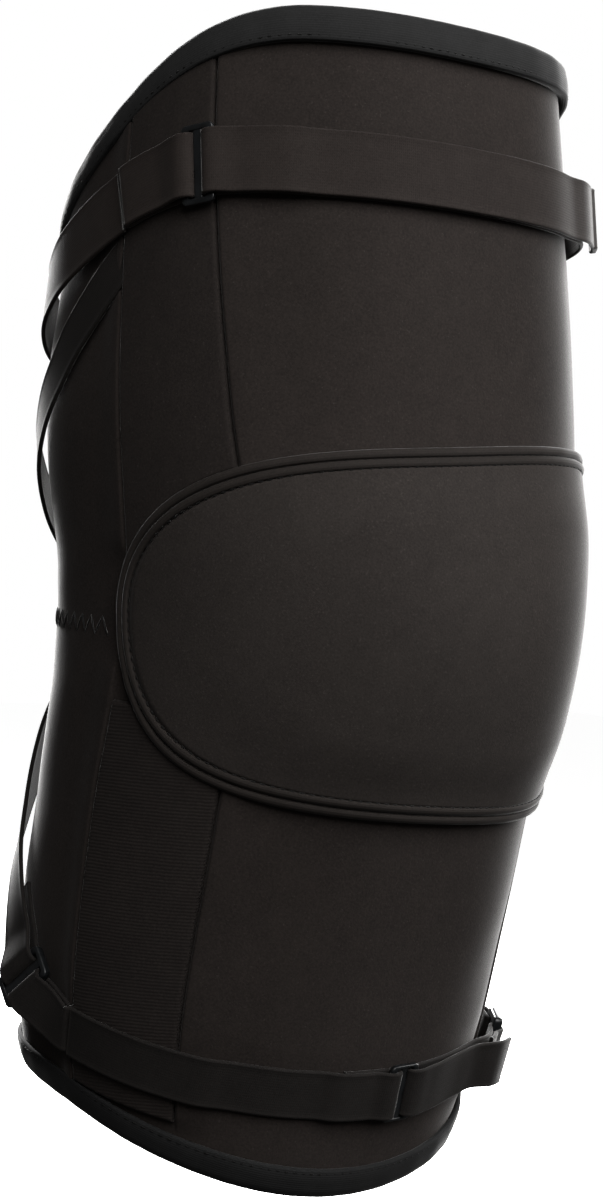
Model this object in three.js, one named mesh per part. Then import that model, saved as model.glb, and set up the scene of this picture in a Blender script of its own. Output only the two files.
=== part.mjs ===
// Elbow brace in its worn form: a bent padded sleeve with an oval pad over the elbow, bound rims,
// side pockets for stays, a buckled strap at each end and two straps that cross behind the crook.
// Millimetres. +Z runs up the arm, -Y points out of the pad, +X is the wearer's far side.
// The origin lies on the arm's axis, level with the point of the elbow.
// Places on the sleeve are given by an angle round the arm in degrees, 0 at the front and
// -90 at the -X side, by the distance along the arm from the elbow, and by the lift off the cloth.
import * as THREE from 'three';

// Sleeve
const upperLength = 136;
const lowerLength = 134.5;
const armWidth = 120;
const elbowReach = 67;
const crookReach = 58.5;
const sleeveWall = 3;
const bendAngle = 4.8;
const bendLength = 60;
const upperSquareness = 2.48;
const lowerSquareness = 2.25;
const topScoop = 62;
const topScoopStart = 40;
const bottomRise = 20.5;
const bottomRiseEnd = 115;

// Bindings
const topBindingCloth = 2;
const bottomBindingCloth = 1.2;
const backBindingCloth = 0.8;
const bindingThinStart = 50;
const bindingThinEnd = 115;
const bindingRound = 3;
const topBindingHeight = 8.5;
const bottomBindingHeight = 6;

// Elbow pad
const padHalfAngle = 79.5;
const padHalfHeight = 39.8;
const padDrop = 1.5;
const padFullness = 4;
const padFlare = 0.035;
const padEdge = 2.2;
const padThickness = 3;
const padCrown = 1.8;
const padCrownReach = 50;
const padBindingWidth = 2.4;
const padBindingHeight = 2.8;

// Side pockets
const pocketCloth = 1.2;
const pocketTopBack = 88.5;
const pocketTopFront = 62.5;
const pocketElbowBack = 79.5;
const pocketElbowFront = 50.5;
const pocketBottomBack = 84;
const pocketRoom = 1;
const pocketCorner = 13;
const ribPocketInset = 18.5;
const ribPocketSlope = 4.5;

// Webbing
const webbingThickness = 1;
const topStrapWidth = 15;
const topStrapInset = 36.5;
const topStrapDrop = 44;
const topStrapDropStart = 50;
const bottomStrapWidth = 12;
const bottomStrapInset = 26.5;
const bottomStrapRise = 11;
const crossStrapWidth = 11;
const topStrapStart = -87;
const topSeam = -84.5;
const topTailEnd = 58;
const topSlack = 2.4;
const slackAngle = 60;
const slackSpread = 16;
const sideStandoff = 3.8;
const bottomTailEnd = 52;
const bottomSeam = 82.5;
const pullTailSpring = 2.6;
const tailSpring = 4.6;
const tailSpringReach = 26;
const returnLength = 14;
const crossReturn = 13;

// Slide buckles
const barWidth = 1.8;
const barThickness = 1.2;
const barSpacing = 6.8;
const wideBuckleEnd = 1.4;
const narrowBuckleEnd = 0.8;
const buckleSideRoom = 0.35;
const buckleCorner = 1.2;
const topBuckleAngle = -62.5;
const bottomBuckleAngle = 8.2;
const sideBuckleAngle = 62;

// Clearances
const seatGap = 0.4;
const foldGap = 0.35;

// Facets
const columns = 44;
const sleeveRows = 17;
const padColumns = 28;
const padBindingSteps = 60;
const strapStep = 7.5;
const wrapSteps = 6;

// Half width, front depth and back depth along the arm, as shares of half the arm's width, the
// elbow's reach and the crook's reach; "at" is the share of the lower (-) or upper (+) length.
const sleeveSections = [
  { at: -1.0, wide: 0.83, front: 0.605, back: 0.84 },
  { at: -0.72, wide: 0.95, front: 0.705, back: 0.99 },
  { at: -0.34, wide: 0.97, front: 0.86, back: 0.935 },
  { at: 0, wide: 0.967, front: 1.0, back: 0.85 },
  { at: 0.33, wide: 1.0, front: 0.92, back: 1.0 },
  { at: 0.7, wide: 0.945, front: 0.865, back: 0.98 },
  { at: 1.0, wide: 0.885, front: 0.795, back: 0.92 },
];

// Pad surface across its height: "at" is the share of the half height, "full" of the pad's lift.
const padProfile = [
  { at: -1, full: 0 },
  { at: -0.93, full: 0.62 },
  { at: -0.78, full: 0.9 },
  { at: -0.4, full: 1 },
  { at: 0, full: 1 },
  { at: 0.4, full: 1 },
  { at: 0.78, full: 0.9 },
  { at: 0.93, full: 0.62 },
  { at: 1, full: 0 },
];

// Route of a crossing strap from its upper seam round the crook to its lower seam: "turn" is the
// angle from the front, "at" the share of the upper or lower length, "lift" the height off the
// cloth and "lean" the tilt that lifts the strap's upper edge.
const crossRoute = [
  { turn: 89, at: 0.555, lift: 1.1, lean: 0 },
  { turn: 100, at: 0.475, lift: 1.3, lean: 0 },
  { turn: 112, at: 0.38, lift: 1.6, lean: 0 },
  { turn: 130, at: 0.245, lift: 2.6, lean: 0 },
  { turn: 155, at: 0.08, lift: 5.8, lean: 0 },
  { turn: 180, at: -0.04, lift: 7.5, lean: 0 },
  { turn: 205, at: -0.2, lift: 5.4, lean: 0 },
  { turn: 225, at: -0.385, lift: 2.8, lean: 2 },
  { turn: 245, at: -0.56, lift: 3, lean: 9 },
  { turn: 259, at: -0.672, lift: 4.5, lean: 22 },
  { turn: 265, at: -0.7, lift: 3.9, lean: 18 },
  { turn: 274, at: -0.735, lift: 2.1, lean: 2 },
];
const crossBuckleTurn = 259;
const crossSeamTurn = 274;

const cloth = { color: 0x2b2725, roughness: 0.92, metalness: 0 };
const bindingCloths = { color: 0x222324, roughness: 0.85, metalness: 0 };
const ribCloth = { color: 0x26211f, roughness: 0.95, metalness: 0 };
const webCloth = { color: 0x2d2927, roughness: 0.88, metalness: 0 };
const plastic = { color: 0x17181a, roughness: 0.4, metalness: 0 };

const radians = THREE.MathUtils.degToRad;
const clamp = THREE.MathUtils.clamp;

/** Smooth step from 0 at start to 1 at end. */
function ease(value, start, end) {
  return (1 - Math.cos(Math.PI * clamp((value - start) / (end - start), 0, 1))) / 2;
}

/** Smooth curve through one column of a table whose key column rises. */
function through(table, key, column, value) {
  const last = table.length - 1;
  const at = clamp(value, table[0][key], table[last][key]);
  let i = 0;
  while (i < last - 1 && at > table[i + 1][key]) i += 1;
  const slope = (j) => {
    const low = table[Math.max(j - 1, 0)];
    const high = table[Math.min(j + 1, last)];
    return (high[column] - low[column]) / (high[key] - low[key]);
  };
  const span = table[i + 1][key] - table[i][key];
  const t = (at - table[i][key]) / span;
  const t2 = t * t;
  const t3 = t2 * t;
  return table[i][column] * (2 * t3 - 3 * t2 + 1) + slope(i) * span * (t3 - 2 * t2 + t)
    + table[i + 1][column] * (3 * t2 - 2 * t3) + slope(i + 1) * span * (t3 - t2);
}

/** Share of the upper or lower length at a distance along the arm, and back. */
const shareOf = (along) => along / (along < 0 ? lowerLength : upperLength);
const alongOf = (share) => share * (share < 0 ? lowerLength : upperLength);

/** Point of the arm's axis, and its lean, at a distance along the arm. */
function axisAt(along) {
  const halfBend = radians(bendAngle / 2);
  const reach = bendLength / 2;
  const bent = Math.min(Math.abs(along), reach);
  const straight = Math.max(Math.abs(along) - reach, 0);
  const turn = (halfBend * bent) / reach;
  const y = (reach / halfBend) * (1 - Math.cos(turn)) + straight * Math.sin(halfBend);
  const z = (reach / halfBend) * Math.sin(turn) + straight * Math.cos(halfBend);
  return { y, z: Math.sign(along) * z, lean: Math.sign(along) * turn };
}

/** Point at an angle round the arm, a distance along it and a lift off the sleeve's cloth. */
function onSleeve(angle, along, lift) {
  const place = shareOf(along);
  const across = Math.sin(radians(angle));
  const ahead = Math.cos(radians(angle));
  const half = (armWidth / 2) * through(sleeveSections, 'at', 'wide', place) + lift;
  const front = elbowReach * through(sleeveSections, 'at', 'front', place);
  const back = crookReach * through(sleeveSections, 'at', 'back', place);
  const depth = (ahead >= 0 ? front : back) + lift;
  const power = THREE.MathUtils.lerp(lowerSquareness, upperSquareness, ease(place, -0.5, 0.5));
  const round = (Math.abs(across) ** power + Math.abs(ahead) ** power) ** (-1 / power);
  const behind = -depth * round * ahead;
  const { y, z, lean } = axisAt(along);
  return new THREE.Vector3(half * round * across, y + behind * Math.cos(lean), z - behind * Math.sin(lean));
}

/** Angle brought into the range from -180 to 180. */
const wrapAngle = (angle) => THREE.MathUtils.euclideanModulo(angle + 180, 360) - 180;

/** Distance along the arm of the finished top and bottom edges. */
const topEdge = (angle) => upperLength - topScoop * ease(Math.abs(wrapAngle(angle)), topScoopStart, 180);
const bottomEdge = (angle) => -lowerLength + bottomRise * ease(Math.abs(wrapAngle(angle)), 0, bottomRiseEnd);

/** Thickness of a binding, which is stretched thinner round the crook. */
const bindingCloth = (front, angle) => (
  THREE.MathUtils.lerp(front, backBindingCloth, ease(Math.abs(wrapAngle(angle)), bindingThinStart, bindingThinEnd))
);

/** Half height of the pad's outline at an angle, for an outline drawn in by an inset. */
function padHalf(angle, inset) {
  const reach = padHalfAngle - inset;
  const share = Math.min(Math.abs(angle) / reach, 1);
  const half = padHalfHeight + padFlare * angle - inset;
  return half * Math.sqrt(Math.max(1 - share ** padFullness, 0));
}

/** Closed body from rings of points; the ring of rings closes on itself or is capped. */
function loft(rings, closed) {
  const size = rings[0].length;
  const faces = [];
  const stretch = closed ? rings.length : rings.length - 1;
  for (let i = 0; i < stretch; i += 1) {
    const next = (i + 1) % rings.length;
    for (let j = 0; j < size; j += 1) {
      const k = (j + 1) % size;
      faces.push([i * size + j, next * size + j, next * size + k]);
      faces.push([i * size + j, next * size + k, i * size + k]);
    }
  }
  if (!closed) {
    const last = (rings.length - 1) * size;
    const half = size / 2;
    for (let j = 0; j < half - 1; j += 1) {
      const a = j;
      const b = j + 1;
      const c = size - 2 - j;
      const d = size - 1 - j;
      faces.push([a, b, d]);
      if (b !== c) faces.push([b, c, d]);
      faces.push([last + a, last + d, last + b]);
      if (b !== c) faces.push([last + b, last + d, last + c]);
    }
  }
  return solid(rings.flat(), faces);
}

/** Geometry from points and triangles, turned to face outward. */
function solid(points, faces) {
  const volume = faces.reduce((sum, [a, b, c]) => {
    const cross = new THREE.Vector3().crossVectors(points[b], points[c]);
    return sum + points[a].dot(cross);
  }, 0);
  const index = faces.flatMap(([a, b, c]) => (volume > 0 ? [a, b, c] : [a, c, b]));
  const geometry = new THREE.BufferGeometry();
  geometry.setAttribute('position', new THREE.Float32BufferAttribute(points.flatMap((p) => p.toArray()), 3));
  geometry.setIndex(index);
  geometry.computeVertexNormals();
  return geometry;
}

/** Evenly spaced values from first to last, with both ends. */
function steps(first, last, count) {
  return Array.from({ length: count + 1 }, (_, i) => first + ((last - first) * i) / count);
}

const roundTheArm = steps(-180, 180, columns).slice(0, -1);

/** The padded tube, from inside one binding to inside the other. */
function sleeveShape() {
  const rings = roundTheArm.map((angle) => {
    const low = bottomEdge(angle) + bindingCloth(bottomBindingCloth, angle) + seatGap;
    const high = topEdge(angle) - bindingCloth(topBindingCloth, angle) - seatGap;
    const rows = steps(low, high, sleeveRows);
    const outer = rows.map((along) => onSleeve(angle, along, 0));
    const inner = rows.reverse().map((along) => onSleeve(angle, along, -sleeveWall));
    return [...outer, ...inner];
  });
  return loft(rings, true);
}

/** Section of a binding, as depths down from the rim and lifts off the sleeve. */
function bindingSection(height, thickness) {
  const outside = seatGap + thickness;
  const inside = -sleeveWall - seatGap - thickness;
  return [
    { depth: height, lift: seatGap },
    { depth: height, lift: outside - thickness / 3 },
    { depth: height - thickness / 2, lift: outside },
    { depth: bindingRound, lift: outside },
    { depth: bindingRound / 4, lift: outside - bindingRound / 3 },
    { depth: 0, lift: -sleeveWall / 2 },
    { depth: bindingRound / 4, lift: inside + bindingRound / 3 },
    { depth: bindingRound, lift: inside },
    { depth: height - thickness / 2, lift: inside },
    { depth: height, lift: -sleeveWall - seatGap },
    { depth: thickness, lift: -sleeveWall - seatGap },
    { depth: thickness, lift: seatGap },
  ];
}

/** Binding folded over a rim; "inward" is -1 on the top edge and 1 on the bottom edge. */
function bindingShape(edge, height, front, inward) {
  const rings = roundTheArm.map((angle) => (
    bindingSection(height, bindingCloth(front, angle)).map(({ depth, lift }) => (
      onSleeve(angle, edge(angle) + inward * depth, lift)
    ))
  ));
  return loft(rings, true);
}

/** Lift of the pad's outer face above its edge at a place on the elbow. */
function padLift(angle, along, full) {
  const crown = padCrown * Math.max(Math.cos(radians(angle)), 0) * Math.exp(-((along / padCrownReach) ** 2));
  return padEdge + (padThickness - padEdge + crown) * full;
}

/** The domed pad, inside its edge binding. */
function padShape() {
  const inset = padBindingWidth + seatGap;
  const reach = padHalfAngle - inset;
  const rings = steps(-1, 1, padColumns).map((step) => {
    const share = Math.sin((step * Math.PI) / 2) * (1 - 1 / padColumns ** 2);
    const angle = reach * share;
    const half = padHalf(angle, inset);
    const tip = 1 - Math.abs(share) ** (4 * padFullness);
    const place = (at) => -padDrop + half * at;
    const outer = padProfile.map(({ at, full }) => (
      onSleeve(angle, place(at), padLift(angle, place(at), full * tip))
    ));
    const inner = padProfile.map(({ at }) => onSleeve(angle, place(at), seatGap)).reverse();
    return [...outer, ...inner];
  });
  return loft(rings, false);
}

/** The bound edge that runs round the pad. */
function padBindingShape() {
  const middle = padBindingWidth / 2;
  const reach = padHalfAngle - middle;
  const turns = steps(-Math.PI, Math.PI, 720).slice(0, -1);
  const outline = turns.map((turn) => {
    const angle = reach * Math.sin(turn);
    return { angle, along: Math.sign(Math.cos(turn)) * padHalf(angle, middle) - padDrop };
  });
  const spots = evenly(outline, padBindingSteps);
  const section = [
    { side: -1, lift: seatGap },
    { side: -1, lift: padBindingHeight * 0.75 },
    { side: -0.5, lift: padBindingHeight },
    { side: 0.5, lift: padBindingHeight },
    { side: 1, lift: padBindingHeight * 0.55 },
    { side: 1, lift: seatGap },
  ];
  const rings = spots.map((spot, i) => {
    const before = spots[(i + spots.length - 1) % spots.length];
    const after = spots[(i + 1) % spots.length];
    const scale = millimetresPerDegree(spot.angle, spot.along);
    const run = new THREE.Vector2((after.angle - before.angle) * scale, after.along - before.along).normalize();
    return section.map(({ side, lift }) => (
      onSleeve(spot.angle - (side * middle * run.y) / scale, spot.along + side * middle * run.x, lift)
    ));
  });
  return loft(rings, true);
}

/** Spots at even distances along a closed outline on the sleeve. */
function evenly(outline, count) {
  const points = outline.map(({ angle, along }) => onSleeve(angle, along, 0));
  const lengths = points.map((point, i) => point.distanceTo(points[(i + 1) % points.length]));
  const total = lengths.reduce((sum, length) => sum + length, 0);
  const spots = [];
  let walked = 0;
  outline.forEach((spot, i) => {
    if (walked >= (spots.length * total) / count && spots.length < count) spots.push(spot);
    walked += lengths[i];
  });
  return spots;
}

/** Length of one degree round the sleeve at a place. */
function millimetresPerDegree(angle, along) {
  return onSleeve(angle - 0.5, along, 0).distanceTo(onSleeve(angle + 0.5, along, 0));
}

/** Panel of cloth laid on the sleeve between two seams, as a grid across and along. */
function panelShape(back, front, low, high) {
  const across = steps(0, 1, 9);
  const upward = steps(0, 1, 9);
  const spot = (u, v) => {
    let along = 0;
    let angle = 0;
    for (let pass = 0; pass < 8; pass += 1) {
      angle = THREE.MathUtils.lerp(back(along), front(along), u);
      along = THREE.MathUtils.lerp(low(angle, u), high(angle, u), v);
    }
    return { angle, along };
  };
  const rings = upward.map((v) => {
    const outer = across.map((u) => spot(u, v));
    const lay = (row, lift) => row.map(({ angle, along }) => onSleeve(angle, along, lift));
    return [...lay(outer, seatGap + pocketCloth), ...lay(outer.reverse(), seatGap)];
  });
  return loft(rings, false);
}

/** Angle of a pocket seam that swings from its place by the elbow to its place by a far edge. */
const seam = (side, elbow, far, length) => (along) => (
  side * THREE.MathUtils.lerp(elbow, far, ease(Math.abs(along), 0, length))
);

/** Smooth pocket above the pad. */
function upperPocketShape(side) {
  return panelShape(
    seam(side, pocketElbowBack, pocketTopBack, upperLength),
    seam(side, pocketElbowFront, pocketTopFront, upperLength),
    (angle) => Math.max(padHalf(angle, -pocketRoom), pocketCorner) - padDrop,
    (angle) => topEdge(angle) - topBindingHeight - seatGap,
  );
}

/** Ribbed pocket below the pad. */
function lowerPocketShape(side) {
  const clear = bottomBindingHeight + seatGap;
  return panelShape(
    seam(side, pocketElbowBack, pocketBottomBack, lowerLength / 2),
    seam(side, pocketElbowFront, pocketElbowFront, lowerLength),
    (angle, u) => Math.max(-lowerLength + ribPocketInset + ribPocketSlope * (1 - u), bottomEdge(angle) + clear),
    (angle) => -Math.max(padHalf(angle, -pocketRoom), pocketCorner) - padDrop,
  );
}

const underLift = seatGap + webbingThickness / 2;
const overPocket = underLift + pocketCloth + seatGap;
const layerRise = webbingThickness + foldGap;
const noseInset = barWidth / 2 - 0.2;
const wrapRadius = barThickness / 2 + foldGap + webbingThickness / 2;
const barClear = barWidth / 2 + foldGap;

/** Lift of webbing that lies on the sleeve or rises over a side pocket. */
function restLift(angle) {
  const away = Math.abs(wrapAngle(angle));
  const rise = ease(away, pocketElbowFront - 14, pocketElbowFront - 5) - ease(away, pocketTopBack + 3, pocketTopBack + 12);
  return underLift + (overPocket - underLift) * rise;
}

/** Directions along, across and out of a strap at an angle of its course, and the cloth's own. */
function frameOn(course, angle) {
  const before = onSleeve(angle - 0.5, course.along(angle - 0.5), 0);
  const after = onSleeve(angle + 0.5, course.along(angle + 0.5), 0);
  const along = course.along(angle);
  const up = onSleeve(angle, along + 0.5, 0).sub(onSleeve(angle, along - 0.5, 0));
  const run = after.clone().sub(before);
  const scale = run.length();
  run.normalize();
  const normal = new THREE.Vector3().crossVectors(run, up).normalize();
  const out = normal.clone().applyAxisAngle(run, -radians(course.lean(angle)));
  const across = new THREE.Vector3().crossVectors(out, run).normalize();
  return { run, across, out, normal, scale };
}

/** Middle of the webbing at an angle of its course, and the direction of its width. */
function station(course, angle, lift) {
  const { across, normal } = frameOn(course, angle);
  return { middle: onSleeve(angle, course.along(angle), 0).addScaledVector(normal, lift), across };
}

/** Webbing of one width through a row of stations, open or closed. */
function webbingShape(width, stations, closed) {
  const count = stations.length;
  const rings = stations.map(({ middle, across }, i) => {
    const before = closed ? stations[(i + count - 1) % count] : stations[Math.max(i - 1, 0)];
    const after = closed ? stations[(i + 1) % count] : stations[Math.min(i + 1, count - 1)];
    const face = after.middle.clone().sub(before.middle).cross(across).normalize();
    const corner = (side, skin) => middle.clone()
      .addScaledVector(across, (side * width) / 2)
      .addScaledVector(face, (skin * webbingThickness) / 2);
    return [corner(1, 1), corner(-1, 1), corner(-1, -1), corner(1, -1)];
  });
  return loft(rings, closed);
}

/** Stations along a stretch of a course, with a lift for each angle. */
function layer(course, first, last, liftAt) {
  const count = Math.max(Math.ceil(Math.abs(last - first) / strapStep), 1);
  return steps(first, last, count).map((angle) => station(course, angle, liftAt(angle)));
}

/** A slide buckle's place: its middle, its directions and the angles of its two bars. */
function seatBuckle(course, angle, lift) {
  const { run, across, out, normal, scale } = frameOn(course, angle);
  const middle = onSleeve(angle, course.along(angle), 0).addScaledVector(normal, lift);
  const barAt = (side) => angle + (side * barSpacing) / 2 / scale;
  return { middle, run, across, out, scale, barAt, lift };
}

/** Stations round one bar of a buckle, from under it to over it; "from" is the side it comes from. */
function roundBar(seat, side, from) {
  const place = (x, z) => ({
    middle: seat.middle.clone().addScaledVector(seat.run, x).addScaledVector(seat.out, z),
    across: seat.across,
  });
  const bar = (side * barSpacing) / 2;
  const turns = steps(-90, 90, wrapSteps).map((turn) => place(
    bar - from * (noseInset + wrapRadius * Math.cos(radians(turn))),
    wrapRadius * Math.sin(radians(turn)),
  ));
  return [place(bar + from * barClear, -wrapRadius), ...turns, place(bar + from * barClear, wrapRadius)];
}

/** Closed loop of webbing from a seam to a buckle's bar; "toward" points from seam to bar. */
function loopStations(course, seamAngle, seat, side, toward, lowAt) {
  const bar = seat.barAt(side);
  const crease = bar - (toward * (noseInset + 2 * barWidth)) / seat.scale;
  const count = Math.max(Math.ceil(Math.abs(crease - seamAngle) / strapStep), 1);
  const angles = steps(seamAngle, crease, count);
  const lower = angles.map((angle) => station(course, angle, lowAt(angle)));
  const upper = angles.map((angle) => station(course, angle, lowAt(angle) + layerRise)).reverse();
  const radius = layerRise / 2;
  const tip = station(course, seamAngle - (toward * radius) / seat.scale, lowAt(seamAngle) + radius);
  return [tip, ...lower, ...roundBar(seat, side, -toward), ...upper];
}

/** Rectangle with rounded corners, drawn into a shape or a hole. */
function roundedRectangle(path, half, radius) {
  const { run: x, across: y } = half;
  path.moveTo(-x + radius, -y);
  path.lineTo(x - radius, -y);
  path.absarc(x - radius, -y + radius, radius, -Math.PI / 2, 0, false);
  path.lineTo(x, y - radius);
  path.absarc(x - radius, y - radius, radius, 0, Math.PI / 2, false);
  path.lineTo(-x + radius, y);
  path.absarc(-x + radius, y - radius, radius, Math.PI / 2, Math.PI, false);
  path.lineTo(-x, -y + radius);
  path.absarc(-x + radius, -y + radius, radius, Math.PI, 1.5 * Math.PI, false);
  return path;
}

/** Named mesh with its own material. */
function piece(name, geometry, finish) {
  const mesh = new THREE.Mesh(geometry, new THREE.MeshStandardMaterial(finish));
  mesh.name = name;
  return mesh;
}

/** Slide buckle: a flat ring whose two long bars cross the webbing. */
function buckle(name, seat, width, end) {
  const half = { run: (barSpacing + barWidth) / 2, across: width / 2 + buckleSideRoom + end };
  const inner = { run: (barSpacing - barWidth) / 2, across: width / 2 + buckleSideRoom };
  const outline = roundedRectangle(new THREE.Shape(), half, buckleCorner);
  outline.holes.push(roundedRectangle(new THREE.Path(), inner, buckleCorner / 3));
  const geometry = new THREE.ExtrudeGeometry(outline, { depth: barThickness, bevelEnabled: false, curveSegments: 3 });
  geometry.translate(0, 0, -barThickness / 2);
  const mesh = piece(name, geometry, plastic);
  mesh.setRotationFromMatrix(new THREE.Matrix4().makeBasis(seat.run, seat.across, seat.out));
  mesh.position.copy(seat.middle);
  return mesh;
}

const brace = new THREE.Group();
const sides = [{ name: 'left', side: -1 }, { name: 'right', side: 1 }];

brace.add(piece('sleeve', sleeveShape(), cloth));
brace.add(piece('top_binding', bindingShape(topEdge, topBindingHeight, topBindingCloth, -1), bindingCloths));
brace.add(piece('bottom_binding', bindingShape(bottomEdge, bottomBindingHeight, bottomBindingCloth, 1), bindingCloths));
brace.add(piece('elbow_pad', padShape(), cloth));
brace.add(piece('pad_binding', padBindingShape(), bindingCloths));
sides.forEach(({ name, side }) => {
  brace.add(piece(`upper_pocket_${name}`, upperPocketShape(side), cloth));
  brace.add(piece(`lower_pocket_${name}`, lowerPocketShape(side), ribCloth));
});

// Top strap: it starts behind the left pocket, runs round the crook and the front to the right
// bar of its buckle, and its free end lies back over the front. A loop holds the other bar.
const topCourse = {
  along: (angle) => (
    upperLength - topStrapInset - topStrapDrop * ease(Math.abs(wrapAngle(angle)), topStrapDropStart, 180)
  ),
  lean: () => 0,
};
const topSeat = seatBuckle(topCourse, topBuckleAngle, overPocket + wrapRadius);
const topSlackAt = (angle) => topSlack * Math.exp(-(((wrapAngle(angle) - slackAngle) / slackSpread) ** 2));
const topUnder = (angle) => Math.max(
  restLift(angle) + topSlackAt(angle),
  overPocket * ease(wrapAngle(angle), -30, topSeat.barAt(1)),
);
const topSpring = (angle) => tailSpring * ease(angle, topTailEnd - tailSpringReach, topTailEnd + tailSpringReach);
const topStations = [
  ...layer(topCourse, topStrapStart, topSeat.barAt(1) - 360 + 4, topUnder),
  ...roundBar(topSeat, 1, 1),
  ...layer(topCourse, topSeat.barAt(1) + 5, topTailEnd, (angle) => topUnder(angle) + layerRise + topSpring(angle)),
];
brace.add(piece('top_strap', webbingShape(topStrapWidth, topStations, false), webCloth));
const topLoop = loopStations(topCourse, topSeam, topSeat, -1, 1, () => overPocket);
brace.add(piece('top_loop', webbingShape(topStrapWidth, topLoop, true), webCloth));
brace.add(buckle('top_buckle', topSeat, topStrapWidth, wideBuckleEnd));

// Bottom strap: the sewn part runs from the left pocket to the front buckle's left bar. The pull
// part starts on a second buckle, held off the right side by its own loop, runs to the front
// buckle's right bar and lies back over itself.
const bottomCourse = {
  along: (angle) => (
    -lowerLength + bottomStrapInset + bottomStrapRise * ease(Math.abs(wrapAngle(angle)), 0, bottomRiseEnd)
  ),
  lean: () => 0,
};
const frontSeat = seatBuckle(bottomCourse, bottomBuckleAngle, underLift + wrapRadius);
const returnAngle = frontSeat.barAt(-1) - returnLength;
const sewnLift = (angle) => restLift(angle) + layerRise * ease(angle, returnAngle - 6, returnAngle - 1);
const sewnStations = [
  ...layer(bottomCourse, -bottomSeam, frontSeat.barAt(-1) - 4.5, sewnLift),
  ...roundBar(frontSeat, -1, -1).reverse(),
  ...layer(bottomCourse, frontSeat.barAt(-1) - 3, returnAngle, () => underLift),
];
brace.add(piece('bottom_strap', webbingShape(bottomStrapWidth, sewnStations, false), webCloth));
brace.add(buckle('bottom_buckle', frontSeat, bottomStrapWidth, narrowBuckleEnd));

const sideSeat = seatBuckle(bottomCourse, sideBuckleAngle, sideStandoff + wrapRadius);
const sideReturn = sideSeat.barAt(-1) - returnLength;
const pullUnder = (angle) => (
  restLift(angle) + (sideStandoff - overPocket) * ease(angle, 28, sideSeat.barAt(-1) - 2)
);
const pullOver = (angle) => (
  pullUnder(angle) + layerRise * (1 + ease(angle, sideReturn - 7, sideReturn - 1))
  + pullTailSpring * ease(angle, bottomTailEnd - 16, bottomTailEnd + 4)
);
const pullStations = [
  ...layer(bottomCourse, sideReturn, sideSeat.barAt(-1) - 4.5, (angle) => pullUnder(angle) + layerRise),
  ...roundBar(sideSeat, -1, -1).reverse(),
  ...layer(bottomCourse, sideSeat.barAt(-1) - 3, frontSeat.barAt(1) + 3, pullUnder),
  ...roundBar(frontSeat, 1, 1),
  ...layer(bottomCourse, frontSeat.barAt(1) + 5, bottomTailEnd, pullOver),
];
brace.add(piece('bottom_pull_strap', webbingShape(bottomStrapWidth, pullStations, false), webCloth));
const sideLoop = loopStations(bottomCourse, bottomSeam, sideSeat, 1, -1, () => sideStandoff);
brace.add(piece('bottom_side_loop', webbingShape(bottomStrapWidth, sideLoop, true), webCloth));
brace.add(buckle('bottom_side_buckle', sideSeat, bottomStrapWidth, narrowBuckleEnd));

// Crossing straps: each starts in the back seam of one upper pocket, crosses the other behind
// the crook and ends round the far bar of a buckle low on the other side. The turn is counted
// from the strap's own side, over the crook, to the buckle.
sides.forEach(({ name, side }) => {
  const turnOf = (angle) => -side * angle;
  const over = side < 0 ? 2 * layerRise : 0;
  const course = {
    along: (angle) => alongOf(through(crossRoute, 'turn', 'at', turnOf(angle))),
    lean: (angle) => -side * through(crossRoute, 'turn', 'lean', turnOf(angle)),
  };
  const liftAt = (angle) => (
    through(crossRoute, 'turn', 'lift', turnOf(angle)) + over * Math.exp(-(((turnOf(angle) - 180) / 28) ** 2))
  );
  const buckleAngle = -side * crossBuckleTurn;
  const seat = seatBuckle(course, buckleAngle, liftAt(buckleAngle));
  const far = seat.barAt(side);
  const stations = [
    ...layer(course, -side * crossRoute[0].turn, far + side * 5, liftAt),
    ...roundBar(seat, side, side).reverse(),
    ...layer(course, far + side * 4, far + side * crossReturn, (angle) => liftAt(angle) - layerRise - foldGap),
  ];
  const loopLow = (angle) => liftAt(angle) - layerRise / 2;
  const loop = loopStations(course, -side * crossSeamTurn, seat, -side, side, loopLow);
  brace.add(piece(`cross_strap_${name}`, webbingShape(crossStrapWidth, stations, false), webCloth));
  brace.add(piece(`cross_loop_${name}`, webbingShape(crossStrapWidth, loop, true), webCloth));
  brace.add(buckle(`cross_buckle_${name}`, seat, topStrapWidth, wideBuckleEnd));
});

export default brace;
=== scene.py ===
"""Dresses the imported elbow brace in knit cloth, webbing and moulded plastic.

Every piece is built in mesh code on the same sleeve surface as the solids, in millimetres, and
stands in for the solid of its name. Places on the sleeve are given by an angle round the arm in
degrees (0 at the pad, -90 at the -X side), the distance along the arm from the elbow and the lift
off the cloth.
"""

import logging
import math
from dataclasses import dataclass, field, replace
from enum import Enum
from typing import Callable, Sequence

import bpy
import numpy as np
from mathutils import Matrix


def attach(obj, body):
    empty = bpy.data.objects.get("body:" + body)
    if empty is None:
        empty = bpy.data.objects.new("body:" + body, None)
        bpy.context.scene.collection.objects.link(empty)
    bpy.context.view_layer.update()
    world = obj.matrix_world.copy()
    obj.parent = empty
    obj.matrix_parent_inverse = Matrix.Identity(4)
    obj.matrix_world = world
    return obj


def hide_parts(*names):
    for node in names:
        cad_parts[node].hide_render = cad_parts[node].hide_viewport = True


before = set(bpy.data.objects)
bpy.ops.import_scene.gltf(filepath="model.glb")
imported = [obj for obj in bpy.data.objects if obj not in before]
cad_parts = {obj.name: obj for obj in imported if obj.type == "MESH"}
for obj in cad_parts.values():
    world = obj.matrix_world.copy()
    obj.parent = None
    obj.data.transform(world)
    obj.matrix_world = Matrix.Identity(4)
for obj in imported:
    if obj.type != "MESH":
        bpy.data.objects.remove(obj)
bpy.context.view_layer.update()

MM = 0.001
LOG = logging.getLogger("elbow_brace")
Array = np.ndarray
# Start, end and outward direction of each stitch.
Stitches = list[tuple[Array, Array, Array]]
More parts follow.
